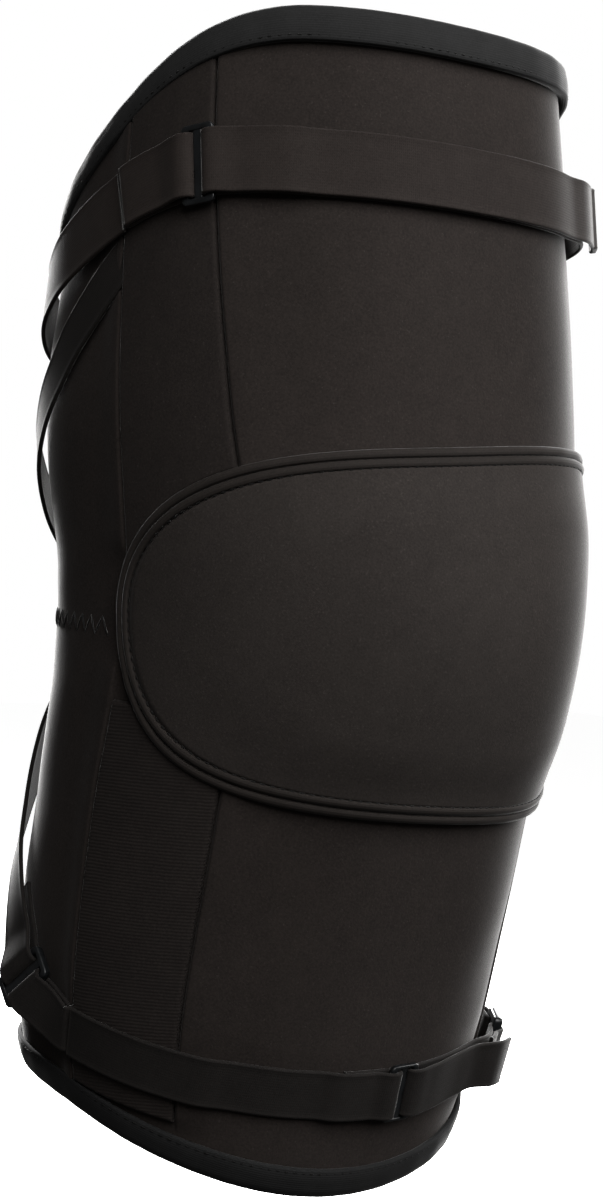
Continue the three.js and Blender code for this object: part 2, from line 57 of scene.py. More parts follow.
# Middles of a strap along its run, and its direction across at each.
Stations = tuple[Array, Array]


# Sizes, in millimetres and degrees


@dataclass(frozen=True)
class SleeveSizes:
    """Driving sizes of the bent, padded tube."""

    upper_length: float = 136
    lower_length: float = 134.5
    half_width: float = 60
    elbow_reach: float = 67
    crook_reach: float = 58.5
    wall: float = 3
    bend_angle: float = 4.8
    bend_length: float = 60
    upper_squareness: float = 2.48
    lower_squareness: float = 2.25
    top_scoop: float = 58
    top_scoop_start: float = 40
    bottom_rise: float = 17.5
    bottom_rise_end: float = 108


@dataclass(frozen=True)
class PadSizes:
    """Sizes of the oval pad over the elbow."""

    half_angle: float = 81.2
    half_height: float = 40.4
    drop: float = 1.5
    tip_rise: float = 2.7
    flare: float = 0.04
    centre_step: float = 0.35
    right_step: float = 1.35
    step_spread: float = 22
    tape_width: float = 4.2
    tape_lift: float = 2.65
    first_row: float = 2.15
    lift: float = 3.05
    crown: float = 2.15
    crown_reach: float = 50


@dataclass(frozen=True)
class WebbingSizes:
    """Sizes shared by the straps and their slide buckles."""

    thickness: float = 1
    fold_gap: float = 0.35
    seat_gap: float = 0.4
    pocket_cloth: float = 1.2
    bar_width: float = 1.8
    bar_thickness: float = 1.2
    bar_spacing: float = 6.8
    side_room: float = 0.35
    wide: float = 15
    middle: float = 12
    narrow: float = 11
    wide_end: float = 1.4
    narrow_end: float = 0.8
    return_length: float = 14
    top_below_rim: float = 36.5
    top_drop: float = 41
    bottom_above_rim: float = 26.5
    bottom_rise: float = 11
    side_sag: float = 2.4
    top_press: float = 0.3
    bottom_press: float = 0.25

    @property
    def under(self) -> float:
        """Lift of webbing that lies on the sleeve."""
        return self.seat_gap + self.thickness / 2

    @property
    def over_pocket(self) -> float:
        """Lift of webbing that lies on a side pocket."""
        return self.under + self.pocket_cloth + self.seat_gap

    @property
    def rise(self) -> float:
        """Step from one layer of webbing to the next."""
        return self.thickness + self.fold_gap

    @property
    def wrap(self) -> float:
        """Radius of webbing that turns round a bar."""
        return self.bar_thickness / 2 + self.fold_gap + self.thickness / 2


@dataclass(frozen=True)
class PocketSizes:
    """Sizes of the side pockets, with their seams as degrees from the front."""

    top_back: float = 88.5
    top_front: float = 62.5
    elbow_back: float = 79.5
    elbow_front: float = 50.5
    bottom_back: float = 84
    upper_corner: float = 11
    lower_corner: float = 21
    top_hem: float = 7.6
    bottom_hem: float = 6.4
    tuck: float = 0.6
    groove: float = 0.5
    cloth_rise: float = 1.35
    lower_right_rise: float = 0.5
    reach_ahead: float = 9
    reach_behind: float = 6
    rib_inset: float = 18.5
    rib_slope: float = 4.5


@dataclass(frozen=True)
class FoldSizes:
    """Sizes of the soft folds that gather behind the crook."""

    depth: float = 1.15
    spacing: float = 15.5
    reach: float = 26
    spread: float = 42


SLEEVE = SleeveSizes()
PAD = PadSizes()
WEB = WebbingSizes()
POCKET = PocketSizes()
FOLDS = FoldSizes()

# Length of cloth along one degree round the arm, which sets the weave's scale.
MM_PER_DEGREE = 1.02
# How far a stitch stands off the tape that it is sewn through.
STITCH_STAND = 0.05

# Half width, front depth and back depth along the arm, as shares of the named sizes.
SECTION_AT = (-1.0, -0.72, -0.34, 0.0, 0.33, 0.7, 1.0)
SECTION_WIDE = (0.83, 0.95, 0.97, 0.967, 1.0, 0.945, 0.885)
SECTION_FRONT = (0.605, 0.705, 0.86, 1.0, 0.92, 0.865, 0.795)
SECTION_BACK = (0.84, 0.99, 0.935, 0.85, 1.0, 0.98, 0.92)


def srgb(hex_colour: str) -> tuple[float, float, float, float]:
    """Turns a hex sRGB colour into linear red, green, blue and alpha.

    Args:
        hex_colour: Six hex digits, with or without a leading hash.

    Returns:
        The linear colour with alpha 1.
    """
    digits = hex_colour.lstrip("#")
    channels = [int(digits[i : i + 2], 16) / 255 for i in (0, 2, 4)]
    linear = [c / 12.92 if c <= 0.04045 else ((c + 0.055) / 1.055) ** 2.4 for c in channels]
    return (linear[0], linear[1], linear[2], 1.0)


def ease(value: Array | float, start: float, end: float) -> Array:
    """Smooth step from 0 at start to 1 at end."""
    return (1 - np.cos(np.pi * np.clip((np.asarray(value, float) - start) / (end - start), 0, 1))) / 2


def unit(vectors: Array) -> Array:
    """Vectors scaled to length 1."""
    return vectors / np.maximum(np.linalg.norm(vectors, axis=-1, keepdims=True), 1e-9)


def wrap_angle(angle: Array | float) -> Array:
    """Angle brought into the range from -180 to 180."""
    return (np.asarray(angle, float) + 180) % 360 - 180


class SmoothTable:
    """Smooth curve through a short table of values over rising keys."""

    def __init__(self, keys: Sequence[float], values: Sequence[float]) -> None:
        """Takes the table and works out its slopes.

        Args:
            keys: Rising keys.
            values: Their values.
        """
        self.keys = np.array(keys, float)
        self.values = np.array(values, float)
        last = len(keys) - 1
        low = np.maximum(np.arange(last + 1) - 1, 0)
        high = np.minimum(np.arange(last + 1) + 1, last)
        self.slopes = (self.values[high] - self.values[low]) / (self.keys[high] - self.keys[low])

    def __call__(self, at: Array | float) -> Array:
        """Reads the curve.

        Args:
            at: One or more keys.

        Returns:
            The values there.
        """
        at = np.clip(np.asarray(at, float), self.keys[0], self.keys[-1])
        i = np.clip(np.searchsorted(self.keys, at, side="left") - 1, 0, len(self.keys) - 2)
        span = self.keys[i + 1] - self.keys[i]
        t = (at - self.keys[i]) / span
        t2, t3 = t * t, t * t * t
        start = self.values[i] * (2 * t3 - 3 * t2 + 1) + self.slopes[i] * span * (t3 - 2 * t2 + t)
        return start + self.values[i + 1] * (3 * t2 - 2 * t3) + self.slopes[i + 1] * span * (t3 - t2)


@dataclass(frozen=True)
class ArmForm:
    """The surface that the sleeve follows and everything else is laid on."""

    sizes: SleeveSizes = SLEEVE
    wide: SmoothTable = SmoothTable(SECTION_AT, SECTION_WIDE)
    front: SmoothTable = SmoothTable(SECTION_AT, SECTION_FRONT)
    back: SmoothTable = SmoothTable(SECTION_AT, SECTION_BACK)

    def share(self, along: Array) -> Array:
        """Distance along the arm as a share of the upper or lower length."""
        return np.where(along < 0, along / self.sizes.lower_length, along / self.sizes.upper_length)

    def axis(self, along: Array) -> tuple[Array, Array, Array]:
        """Follows the arm's bent axis.

        Args:
            along: Millimetres from the elbow, up the arm.

        Returns:
            The axis's y and z in millimetres and its lean in radians.
        """
        half = math.radians(self.sizes.bend_angle / 2)
        reach = self.sizes.bend_length / 2
        bent = np.minimum(np.abs(along), reach)
        straight = np.maximum(np.abs(along) - reach, 0)
        turn = half * bent / reach
        y = reach / half * (1 - np.cos(turn)) + straight * math.sin(half)
        z = reach / half * np.sin(turn) + straight * math.cos(half)
        return y, np.sign(along) * z, np.sign(along) * turn

    def point(self, angle: Array | float, along: Array | float, lift: Array | float) -> Array:
        """Points at angles round the arm, distances along it and lifts off the cloth.

        Args:
            angle: Degrees from the front.
            along: Millimetres from the elbow, up the arm.
            lift: Millimetres outward.

        Returns:
            Points in millimetres, with x, y and z in the last axis.
        """
        angle, along, lift = np.broadcast_arrays(*(np.asarray(v, float) for v in (angle, along, lift)))
        place = self.share(along)
        across, ahead = np.sin(np.radians(angle)), np.cos(np.radians(angle))
        half = self.sizes.half_width * self.wide(place) + lift
        front = self.sizes.elbow_reach * self.front(place)
        back = self.sizes.crook_reach * self.back(place)
        depth = np.where(ahead >= 0, front, back) + lift
        swing = ease(place, -0.5, 0.5)
        power = self.sizes.lower_squareness * (1 - swing) + self.sizes.upper_squareness * swing
        spread = np.maximum(np.abs(across) ** power + np.abs(ahead) ** power, 1e-9) ** (-1 / power)
        behind = -depth * spread * ahead
        y, z, lean = self.axis(along)
        x = half * spread * across
        return np.stack([x, y + behind * np.cos(lean), z - behind * np.sin(lean)], axis=-1)

    def top_edge(self, angle: Array | float) -> Array:
        """Distance along the arm of the finished top rim."""
        s = self.sizes
        return s.upper_length - s.top_scoop * ease(np.abs(wrap_angle(angle)), s.top_scoop_start, 180)

    def bottom_edge(self, angle: Array | float) -> Array:
        """Distance along the arm of the finished bottom rim."""
        s = self.sizes
        return -s.lower_length + s.bottom_rise * ease(np.abs(wrap_angle(angle)), 0, s.bottom_rise_end)


FORM = ArmForm()


# Meshes


@dataclass
class Patch:
    """A grid of points with the length of cloth along each way, for its weave."""

    points: Array
    u: Array
    v: Array
    wrap_u: bool = False
    wrap_v: bool = False


@dataclass
class MeshMaker:
    """Gathers grids and caps, and turns them into one Blender object."""

    points: list[Array] = field(default_factory=list)
    faces: list[Array] = field(default_factory=list)
    uvs: list[Array] = field(default_factory=list)
    caps: list[list[int]] = field(default_factory=list)
    count: int = 0

    def add(self, patch: Patch) -> int:
        """Adds a grid of quads.

        Args:
            patch: The grid. Its u and v have one value more than there are points on a wrapped way.

        Returns:
            The index of the grid's first point.
        """
        rows, cols = patch.points.shape[:2]
        i = np.arange(rows if patch.wrap_u else rows - 1)
        j = np.arange(cols if patch.wrap_v else cols - 1)
        i, j = np.meshgrid(i, j, indexing="ij")
        i, j = i.ravel(), j.ravel()
        ni, nj = (i + 1) % rows, (j + 1) % cols
        start = self.count
        quads = np.stack([i * cols + j, ni * cols + j, ni * cols + nj, i * cols + nj], -1)
        self.faces.append(quads + start)
        u, v = patch.u, patch.v
        if u.ndim == 1:
            u, v = np.broadcast_arrays(u[:, None], v[None, :])
        corners = [(i, j), (i + 1, j), (i + 1, j + 1), (i, j + 1)]
        self.uvs.append(np.stack([np.stack([u[a, b], v[a, b]], -1) for a, b in corners], 1))
        self.points.append(patch.points.reshape(-1, 3))
        self.count += rows * cols
        return start

    def cap(self, indices: Sequence[int]) -> None:
        """Closes a ring of points with one flat face."""
        self.caps.append(list(indices))

    def build(self, name: str, outward: bool = True) -> bpy.types.Object:
        """Makes the object.

        Args:
            name: The object's name.
            outward: Whether the gathered quads already wind outward.

        Returns:
            A smooth-shaded mesh object linked to the scene, in metres.
        """
        points = np.concatenate(self.points) * MM
        quads = np.concatenate(self.faces)
        uv = np.concatenate(self.uvs)
        if not outward:
            quads, uv = quads[:, ::-1], uv[:, ::-1]
        caps = [cap if outward else cap[::-1] for cap in self.caps]
        sizes = [4] * len(quads) + [len(cap) for cap in caps]
        loops = np.concatenate([quads.ravel()] + caps)
        mesh = bpy.data.meshes.new(name)
        mesh.vertices.add(len(points))
        mesh.vertices.foreach_set("co", points.ravel())
        mesh.loops.add(len(loops))
        mesh.loops.foreach_set("vertex_index", loops.astype(np.int32))
        mesh.polygons.add(len(sizes))
        starts = np.concatenate([[0], np.cumsum(sizes)[:-1]])
        mesh.polygons.foreach_set("loop_start", starts.astype(np.int32))
        layer = mesh.uv_layers.new(name="cloth")
        flat = np.concatenate([uv.reshape(-1, 2), np.zeros((sum(map(len, caps)), 2))])
        layer.data.foreach_set("uv", flat.ravel())
        mesh.polygons.foreach_set("use_smooth", np.ones(len(sizes), bool))
        mesh.update()
        mesh.validate()
        made = bpy.data.objects.new(name, mesh)
        bpy.context.scene.collection.objects.link(made)
        return made


def lengths_along(points: Array) -> Array:
    """Distance walked along a row of points, starting from 0."""
    steps = np.linalg.norm(np.diff(points, axis=0), axis=-1)
    return np.concatenate([[0], np.cumsum(steps)])


def resample(points: Array, pitch: float, closed: bool = False) -> Array:
    """Points at even distances along a line.

    Args:
        points: The line's points.
        pitch: Wanted distance between points.
        closed: Whether the line comes back to its first point.

    Returns:
        The new points, without a repeat of the first one on a closed line.
    """
    line = np.concatenate([points, points[:1]]) if closed else points
    walked = lengths_along(line)
    count = max(int(round(walked[-1] / pitch)), 2)
    at = np.linspace(0, walked[-1], count + 1)
    new = np.stack([np.interp(at, walked, line[:, k]) for k in range(line.shape[1])], -1)
    return new[:-1] if closed else new


# Materials


class Texture(Enum):
    """The kinds of cloth on the brace."""

    KNIT = "knit"
    RIB = "rib"
    TAPE = "tape"
    WEB = "web"

    @property
    def painted_hollow_shade(self) -> float:
        """Share of the cloth's tone that is left in the hollows of its pattern: painted shade in the hollows.
        """
        return {"knit": 1.0, "rib": 0.66, "tape": 0.94, "web": 0.9}[self.value]

    @property
    def ribs(self) -> tuple[tuple[str, float, float], ...]:
        """Ribs of the pattern: the cloth's way, the pitch as a share and how far they wander."""
        weave = (("X", 1.0, 0.8), ("Y", 1.25, 0.8))
        return {"knit": (), "rib": (("Y", 1.0, 2.6),), "tape": (("Y", 1.0, 0.6),), "web": weave}[self.value]


@dataclass(frozen=True)
class ClothFinish:
    """Look of one cloth.

    Attributes:
        name: What the real cloth is.
        texture: Its kind.
        base: Colour of its hollows.
        light: Colour of its raised fibres.
        grain_mm: Size of its finest mottle.
        sheen: How much its loose fibres catch grazing light.
        roughness: How matt it is.
        bump_mm: Depth of its relief.
        pitch_mm: Distance between its ribs or threads, 0 for a plain knit.
        fleck_share: How strongly pale fibres show in it.
        fleck: Colour of the pale fibres.
    """

    name: str
    texture: Texture
    base: str
    light: str
    grain_mm: float
    sheen: float
    roughness: float
    bump_mm: float
    pitch_mm: float = 0.0
    fleck_share: float = 0.0
    fleck: str = "5b5551"


# Brushed knit bonded to foam: matt warm charcoal with a soft mottle, pale at grazing angles. Its
# fibres are finer than a pixel, so the grain is drawn coarser, at about half a millimetre.
KNIT = ClothFinish(
    "Charcoal brushed knit laminate", Texture.KNIT, "211d1b", "352f2c",
    grain_mm=0.55, sheen=0.4, roughness=0.92, bump_mm=0.08, fleck_share=0.25,
)
# The same knit stretched over the pad's foam: a little paler and closer, so the pad stands out.
PAD_KNIT = replace(
    KNIT, name="Charcoal pad knit", base="292523", light="3b3633", grain_mm=0.5, fleck_share=0.2
)
# The same knit pulled tight over the stays: a shade darker than the sleeve beside it.
POCKET_KNIT = replace(KNIT, name="Charcoal stay pocket knit", base="1e1a19", light="302b28")
# Knit with raised ribs across the arm: fine level lines that wander a little. The ribs are drawn
# coarser than the real ones, 0.8 mm apart, so that they show.
RIB = ClothFinish(
    "Ribbed stay pocket knit", Texture.RIB, "1e1a19", "322d2a",
    grain_mm=0.5, sheen=0.3, roughness=0.92, bump_mm=0.06, pitch_mm=0.8,
)
# Woven stretch tape folded over the top rim: neutral black, smoother than the knit, with faint
# threads along it. The threads are drawn coarser than the real ones, so that they show.
TAPE = ClothFinish(
    "Folded stretch binding tape", Texture.TAPE, "1f1f1f", "2d2d2d",
    grain_mm=0.4, sheen=0.4, roughness=0.85, bump_mm=0.03, pitch_mm=0.55,
)
# The same tape round the bottom rim, drawn darker as painted shade, since the light from above reaches the
# bottom less.
SHADED_TAPE = replace(TAPE, name="Stretch binding tape darkened as painted shade", base="181818", light="252525")
# The same weave laid flat round the pad: warm, close to the pad's own brown.
PAD_TAPE = replace(TAPE, name="Flat woven edging tape", base="221f1d", light="322d2a")
# Flat woven elastic: a close weave of threads both ways, satin where it turns from the light. The
# threads are drawn coarser than the real ones, 0.5 mm apart.
WEBBING = ClothFinish(
    "Woven elastic webbing", Texture.WEB, "241f1d", "36302d",
    grain_mm=0.4, sheen=0.4, roughness=0.88, bump_mm=0.03, pitch_mm=0.5,
)
# The narrower elastic of the lower and crossing straps: denser and darker.
DARK_WEBBING = replace(WEBBING, name="Dense dark elastic webbing", base="161413", light="262321")
# Spun thread: nearly black, with a slight gloss that makes each stitch read on the tape.
THREAD = ClothFinish(
    "Spun polyester thread", Texture.TAPE, "121111", "1f1e1d",
    grain_mm=0.2, sheen=0.35, roughness=0.7, bump_mm=0.03, pitch_mm=0.3,
)

# Noise that mottles a cloth, besides its own grain: size in millimetres, detail, roughness and
# share of the tone. The first gives soft patches, the second slow changes across a panel.
MOTTLES = ((5.0, 3.0, 0.6, 0.2), (38.0, 2.0, 0.5, 0.18))
GRAIN_SHARE = 0.62
# Most of a noise's values lie between these, so they are what is spread over the whole tone.
NOISE_LOW, NOISE_HIGH = 0.3, 0.7


def blank_material(name: str) -> bpy.types.Material:
    """Makes a material whose node tree is empty.

    Args:
        name: The material's name.

    Returns:
        The material.
    """
    material = bpy.data.materials.new(name)
    material.use_nodes = True
    material.node_tree.nodes.clear()
    return material


def add_node(tree: bpy.types.NodeTree, kind: str, settings: dict, **inputs: object) -> bpy.types.Node:
    """Adds a node with its settings and links.

    Args:
        tree: The node tree that it goes into.
        kind: The node's type, without the ShaderNode in front.
        settings: Attributes to set on the node.
        **inputs: For a socket a value, or a node or (node, output) to link. An underscore in a name
            stands for a space, and _0 or _1 picks a socket by number.

    Returns:
        The node.
    """
    node = tree.nodes.new("ShaderNode" + kind)
    for key, value in settings.items():
        setattr(node, key, value)
    for key, value in inputs.items():
        socket = node.inputs[int(key[1:])] if key[0] == "_" else node.inputs[key.replace("_", " ")]
        source = (value, 0) if isinstance(value, bpy.types.Node) else value
        if isinstance(source, tuple) and isinstance(source[0], bpy.types.Node):
            tree.links.new(source[0].outputs[source[1]], socket)
        else:
            socket.default_value = source
    return node


@dataclass
class ClothMaker:
    """Makes the cloth materials, each once."""

    made: dict[str, bpy.types.Material] = field(default_factory=dict)
    fleck_mm: float = 0.5
    fleck_from: float = 0.70
    fleck_full: float = 0.76
    wander_mm: float = 3.0

    def get(self, finish: ClothFinish) -> bpy.types.Material:
        """Gives the material of a finish, which is made when it is first asked for.

        Args:
            finish: The finish.

        Returns:
            Its material.
        """
        if finish.name not in self.made:
            self.made[finish.name] = self._make(finish)
        return self.made[finish.name]

    def _make(self, finish: ClothFinish) -> bpy.types.Material:
        """Builds a cloth from its mottle, its pattern, its flecks and its relief.

        Args:
            finish: The finish.

        Returns:
            The material.
        """
        material = blank_material(finish.name)
        tree = material.node_tree
        place = (add_node(tree, "TexCoord", {}), "Object")
        grain = add_node(
            tree, "TexNoise", {}, Vector=place, Scale=1 / (finish.grain_mm * MM), Detail=3.0, Roughness=0.62
        )
        tone = add_node(
            tree, "MapRange", {}, Value=grain, From_Min=NOISE_LOW, From_Max=NOISE_HIGH, To_Max=GRAIN_SHARE
        )
        for size, detail, rough, share in MOTTLES:
            mottle = add_node(
                tree, "TexNoise", {}, Vector=place, Scale=1 / (size * MM), Detail=detail, Roughness=rough
            )
            part = add_node(
                tree, "MapRange", {}, Value=mottle, From_Min=NOISE_LOW, From_Max=NOISE_HIGH, To_Max=share
            )
            tone = add_node(tree, "Math", {"operation": "ADD"}, _0=tone, _1=part)
        height = add_node(tree, "Math", {"operation": "MULTIPLY"}, _0=grain, _1=0.7)
        if finish.texture.ribs:
            pattern = self._pattern(tree, place, finish)
            # Painted shade: the pattern's hollows are drawn darker and its crests a little lighter in the
            # colour itself, besides the bump.
            painted_hollow_shade = add_node(tree, "MapRange", {}, Value=pattern, To_Min=finish.texture.painted_hollow_shade, To_Max=1.1)
            tone = add_node(tree, "Math", {"operation": "MULTIPLY", "use_clamp": True}, _0=tone, _1=painted_hollow_shade)
            relief = add_node(tree, "Math", {"operation": "MULTIPLY"}, _0=pattern, _1=0.9)
            height = add_node(tree, "Math", {"operation": "ADD"}, _0=height, _1=relief)
        mixing = {"data_type": "RGBA"}
        colour = add_node(tree, "Mix", mixing, _0=tone, _6=srgb(finish.base), _7=srgb(finish.light))
        if finish.fleck_share:
            specks = add_node(
                tree, "TexNoise", {}, Vector=place, Scale=1 / (self.fleck_mm * MM), Detail=1.0, Roughness=0.4
            )
            shown = add_node(
                tree, "MapRange", {}, Value=specks, From_Min=self.fleck_from, From_Max=self.fleck_full,
                To_Max=0.8 * finish.fleck_share,
            )
            colour = add_node(tree, "Mix", mixing, _0=shown, _6=(colour, 2), _7=srgb(finish.fleck))
        bump = add_node(tree, "Bump", {}, Strength=0.9, Distance=finish.bump_mm * MM, Height=height)
        surface = add_node(
            tree, "BsdfPrincipled", {}, Base_Color=(colour, 2), Roughness=finish.roughness, Normal=bump,
            Specular_IOR_Level=0.16, Sheen_Weight=finish.sheen, Sheen_Roughness=0.22,
            Sheen_Tint=(1.0, 0.99, 0.98, 1.0),
        )
        add_node(tree, "OutputMaterial", {}, Surface=surface)
        return material

    def _pattern(self, tree: bpy.types.NodeTree, place: tuple, finish: ClothFinish) -> bpy.types.Node:
        """Builds the height of the ribs or the weave.

        Args:
            tree: The material's node tree.
            place: The output that gives a spot's place on the brace.
            finish: The finish, which isn't a plain knit.

        Returns:
            The node whose result is the height, from 0 to 1.
        """
        cloth = add_node(tree, "UVMap", {"uv_map": "cloth"})
        ways = add_node(tree, "SeparateXYZ", {}, Vector=cloth)
        noise = add_node(
            tree, "TexNoise", {}, Vector=place, Scale=1 / (self.wander_mm * MM), Detail=2.0, Roughness=0.5
        )
        heights = []
        for way, pitch_share, wander in finish.texture.ribs:
            drift = add_node(tree, "Math", {"operation": "MULTIPLY"}, _0=noise, _1=wander)
            wave = 2 * math.pi / finish.pitch_mm / pitch_share
            phase = add_node(tree, "Math", {"operation": "MULTIPLY"}, _0=(ways, way), _1=wave)
            phase = add_node(tree, "Math", {"operation": "ADD"}, _0=phase, _1=drift)
            swing = add_node(tree, "Math", {"operation": "SINE"}, _0=phase)
            heights.append(add_node(tree, "MapRange", {}, Value=swing, From_Min=-1.0))
        if len(heights) == 1:
            return heights[0]
        return add_node(tree, "Math", {"operation": "MAXIMUM"}, _0=heights[0], _1=heights[1])


def moulded_plastic() -> bpy.types.Material:
    """Makes acetal as injection moulded: satin black with slightly uneven gloss and soft highlights.

    Returns:
        The material.
    """
    material = blank_material("Satin black moulded acetal")
    tree = material.node_tree
    place = (add_node(tree, "TexCoord", {}), "Object")
    cloud = add_node(tree, "TexNoise", {}, Vector=place, Scale=1 / (2.4 * MM), Detail=3.0, Roughness=0.5)
    tone = add_node(tree, "MapRange", {}, Value=cloud, From_Min=NOISE_LOW, From_Max=NOISE_HIGH)
    colour = add_node(tree, "Mix", {"data_type": "RGBA"}, _0=tone, _6=srgb("0f1011"), _7=srgb("181a1c"))
    rough = add_node(
        tree, "MapRange", {}, Value=cloud, From_Min=NOISE_LOW, From_Max=NOISE_HIGH, To_Min=0.26, To_Max=0.4
    )
    skin = add_node(tree, "TexNoise", {}, Vector=place, Scale=1 / (0.35 * MM), Detail=2.0, Roughness=0.5)
    bump = add_node(tree, "Bump", {}, Strength=0.25, Distance=0.03 * MM, Height=skin)
    surface = add_node(
        tree, "BsdfPrincipled", {}, Base_Color=(colour, 2), Roughness=rough, Normal=bump, IOR=1.48,
        Coat_Weight=0.15, Coat_Roughness=0.2,
    )
    add_node(tree, "OutputMaterial", {}, Surface=surface)
    return material


def pale_floor() -> bpy.types.Material:
    """Makes painted studio board: matt and so evenly bright that it joins the white behind it.

    Returns:
        The material.
    """
    material = blank_material("Pale matt studio board")
    tree = material.node_tree
    place = (add_node(tree, "TexCoord", {}), "Object")
    cloud = add_node(tree, "TexNoise", {}, Vector=place, Scale=1 / (60 * MM), Detail=2.0, Roughness=0.5)
    tone = add_node(tree, "MapRange", {}, Value=cloud, From_Min=NOISE_LOW, From_Max=NOISE_HIGH)
    colour = add_node(tree, "Mix", {"data_type": "RGBA"}, _0=tone, _6=srgb("f4f4f3"), _7=srgb("f8f8f7"))
    board = add_node(
        tree, "BsdfPrincipled", {}, Base_Color=(colour, 2), Roughness=0.9, Specular_IOR_Level=0.1,
        Emission_Color=(1.0, 1.0, 1.0, 1.0), Emission_Strength=0.92,
    )
    add_node(tree, "OutputMaterial", {}, Surface=board)
    return material


@dataclass
class Dresser:
    """Hangs a finished piece on the frame: its material and the node that it replaces."""

    cloths: ClothMaker = field(default_factory=ClothMaker)
    plastic: bpy.types.Material = field(default_factory=moulded_plastic)

    def dress(
        self, piece: bpy.types.Object, finish: bpy.types.Material | ClothFinish, slot: str, node: str = ""
    ) -> bpy.types.Object:
        """Gives a piece its material and place in the frame.

        Args:
            piece: The object.
            finish: Its material, or the finish of its cloth.
            slot: A material slot's name; not used.
            node: The CAD node that it stands for, if any.

        Returns:
            The same object.
        """
        material = self.cloths.get(finish) if isinstance(finish, ClothFinish) else finish
        piece.data.materials.append(material)
        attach(piece, "root")
        if node:
            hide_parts(node)
        LOG.info("%s: %d faces", piece.name, len(piece.data.polygons))
        return piece


# Cloth of the sleeve


def crook_folds(angle: Array, along: Array) -> Array:
    """Height of the soft folds that gather behind the crook.

    Args:
        angle: Degrees from the front.
        along: Millimetres from the elbow, up the arm.

    Returns:
        Millimetres outward, never above 0.
    """
    behind = np.exp(-(((np.abs(wrap_angle(angle)) - 180) / FOLDS.spread) ** 2))
    drift = 3.0 * np.sin(np.radians(angle * 2.3 + 20)) + 1.6 * np.sin(np.radians(angle * 5.1))
    near = np.exp(-((along / FOLDS.reach) ** 2))
    fold = 0.55 + 0.45 * np.cos(2 * np.pi * (along + drift) / FOLDS.spacing)
    return -FOLDS.depth * behind * near * fold


def soft_waver(angle: Array, along: Array) -> Array:
    """Slight unevenness of cloth that is stretched over an arm.

    Args:
        angle: Degrees from the front.
        along: Millimetres from the elbow, up the arm.

    Returns:
        Millimetres outward.
    """
    a = np.radians(angle)
    return (
        0.16 * np.sin(3 * a + 0.045 * along) + 0.13 * np.sin(5 * a - 0.071 * along + 1.1)
        + 0.10 * np.sin(0.11 * along + 2 * a + 0.6) + 0.07 * np.sin(0.19 * along - 7 * a)
    )


def seam_angles(along: Array) -> tuple[Array, Array]:
    """Angles of a pocket's back and front seams, on either side of the arm.

    Args:
        along: Millimetres from the elbow, up the arm.

    Returns:
        The back and the front seam's angle, without a sign for the side.
    """
    up = ease(along, 0, SLEEVE.upper_length)
    down = ease(-along, 0, SLEEVE.lower_length / 2)
    back = POCKET.elbow_back + (POCKET.top_back - POCKET.elbow_back) * up
    back = back + (POCKET.bottom_back - POCKET.elbow_back) * down
    return back, POCKET.elbow_front + (POCKET.top_front - POCKET.elbow_front) * up


def seam_rise(angle: Array, along: Array) -> Array:
    """Height of the cloth beside the pockets, level with them but for a groove at each seam.

    Args:
        angle: Degrees from the front.
        along: Millimetres from the elbow, up the arm.

    Returns:
        Millimetres outward.
    """
    away = np.abs(wrap_angle(angle))
    back, front = seam_angles(along)
    ahead, behind = front - away, away - back
    gap = np.maximum(np.maximum(ahead, behind), 0)
    reach = np.where(ahead > 0, POCKET.reach_ahead, POCKET.reach_behind)
    beside = ease(np.abs(along), 8, 16) * ease(along, -120, -113)
    height = np.where((angle > 0) & (along < 0), POCKET.lower_right_rise, POCKET.cloth_rise)
    groove = 1 - np.exp(-((gap / POCKET.groove) ** 2))
    return height * groove * np.exp(-((gap / reach) ** 2)) * beside


def cloth_lift(angle: Array, along: Array) -> Array:
    """Height of the sleeve's outer face over its plain form.

    Args:
        angle: Degrees from the front.
        along: Millimetres from the elbow, up the arm.

    Returns:
        Millimetres outward. The cloth sinks a little under the straps.
    """
    away = np.abs(wrap_angle(angle))
    pressed = np.exp(-(((along - top_course().along(angle)) / 9) ** 4))
    lower = np.exp(-(((along - bottom_course().along(angle)) / 8) ** 4)) * (away < 90)
    sunk = WEB.top_press * pressed + WEB.bottom_press * lower
    return crook_folds(angle, along) + soft_waver(angle, along) - sunk


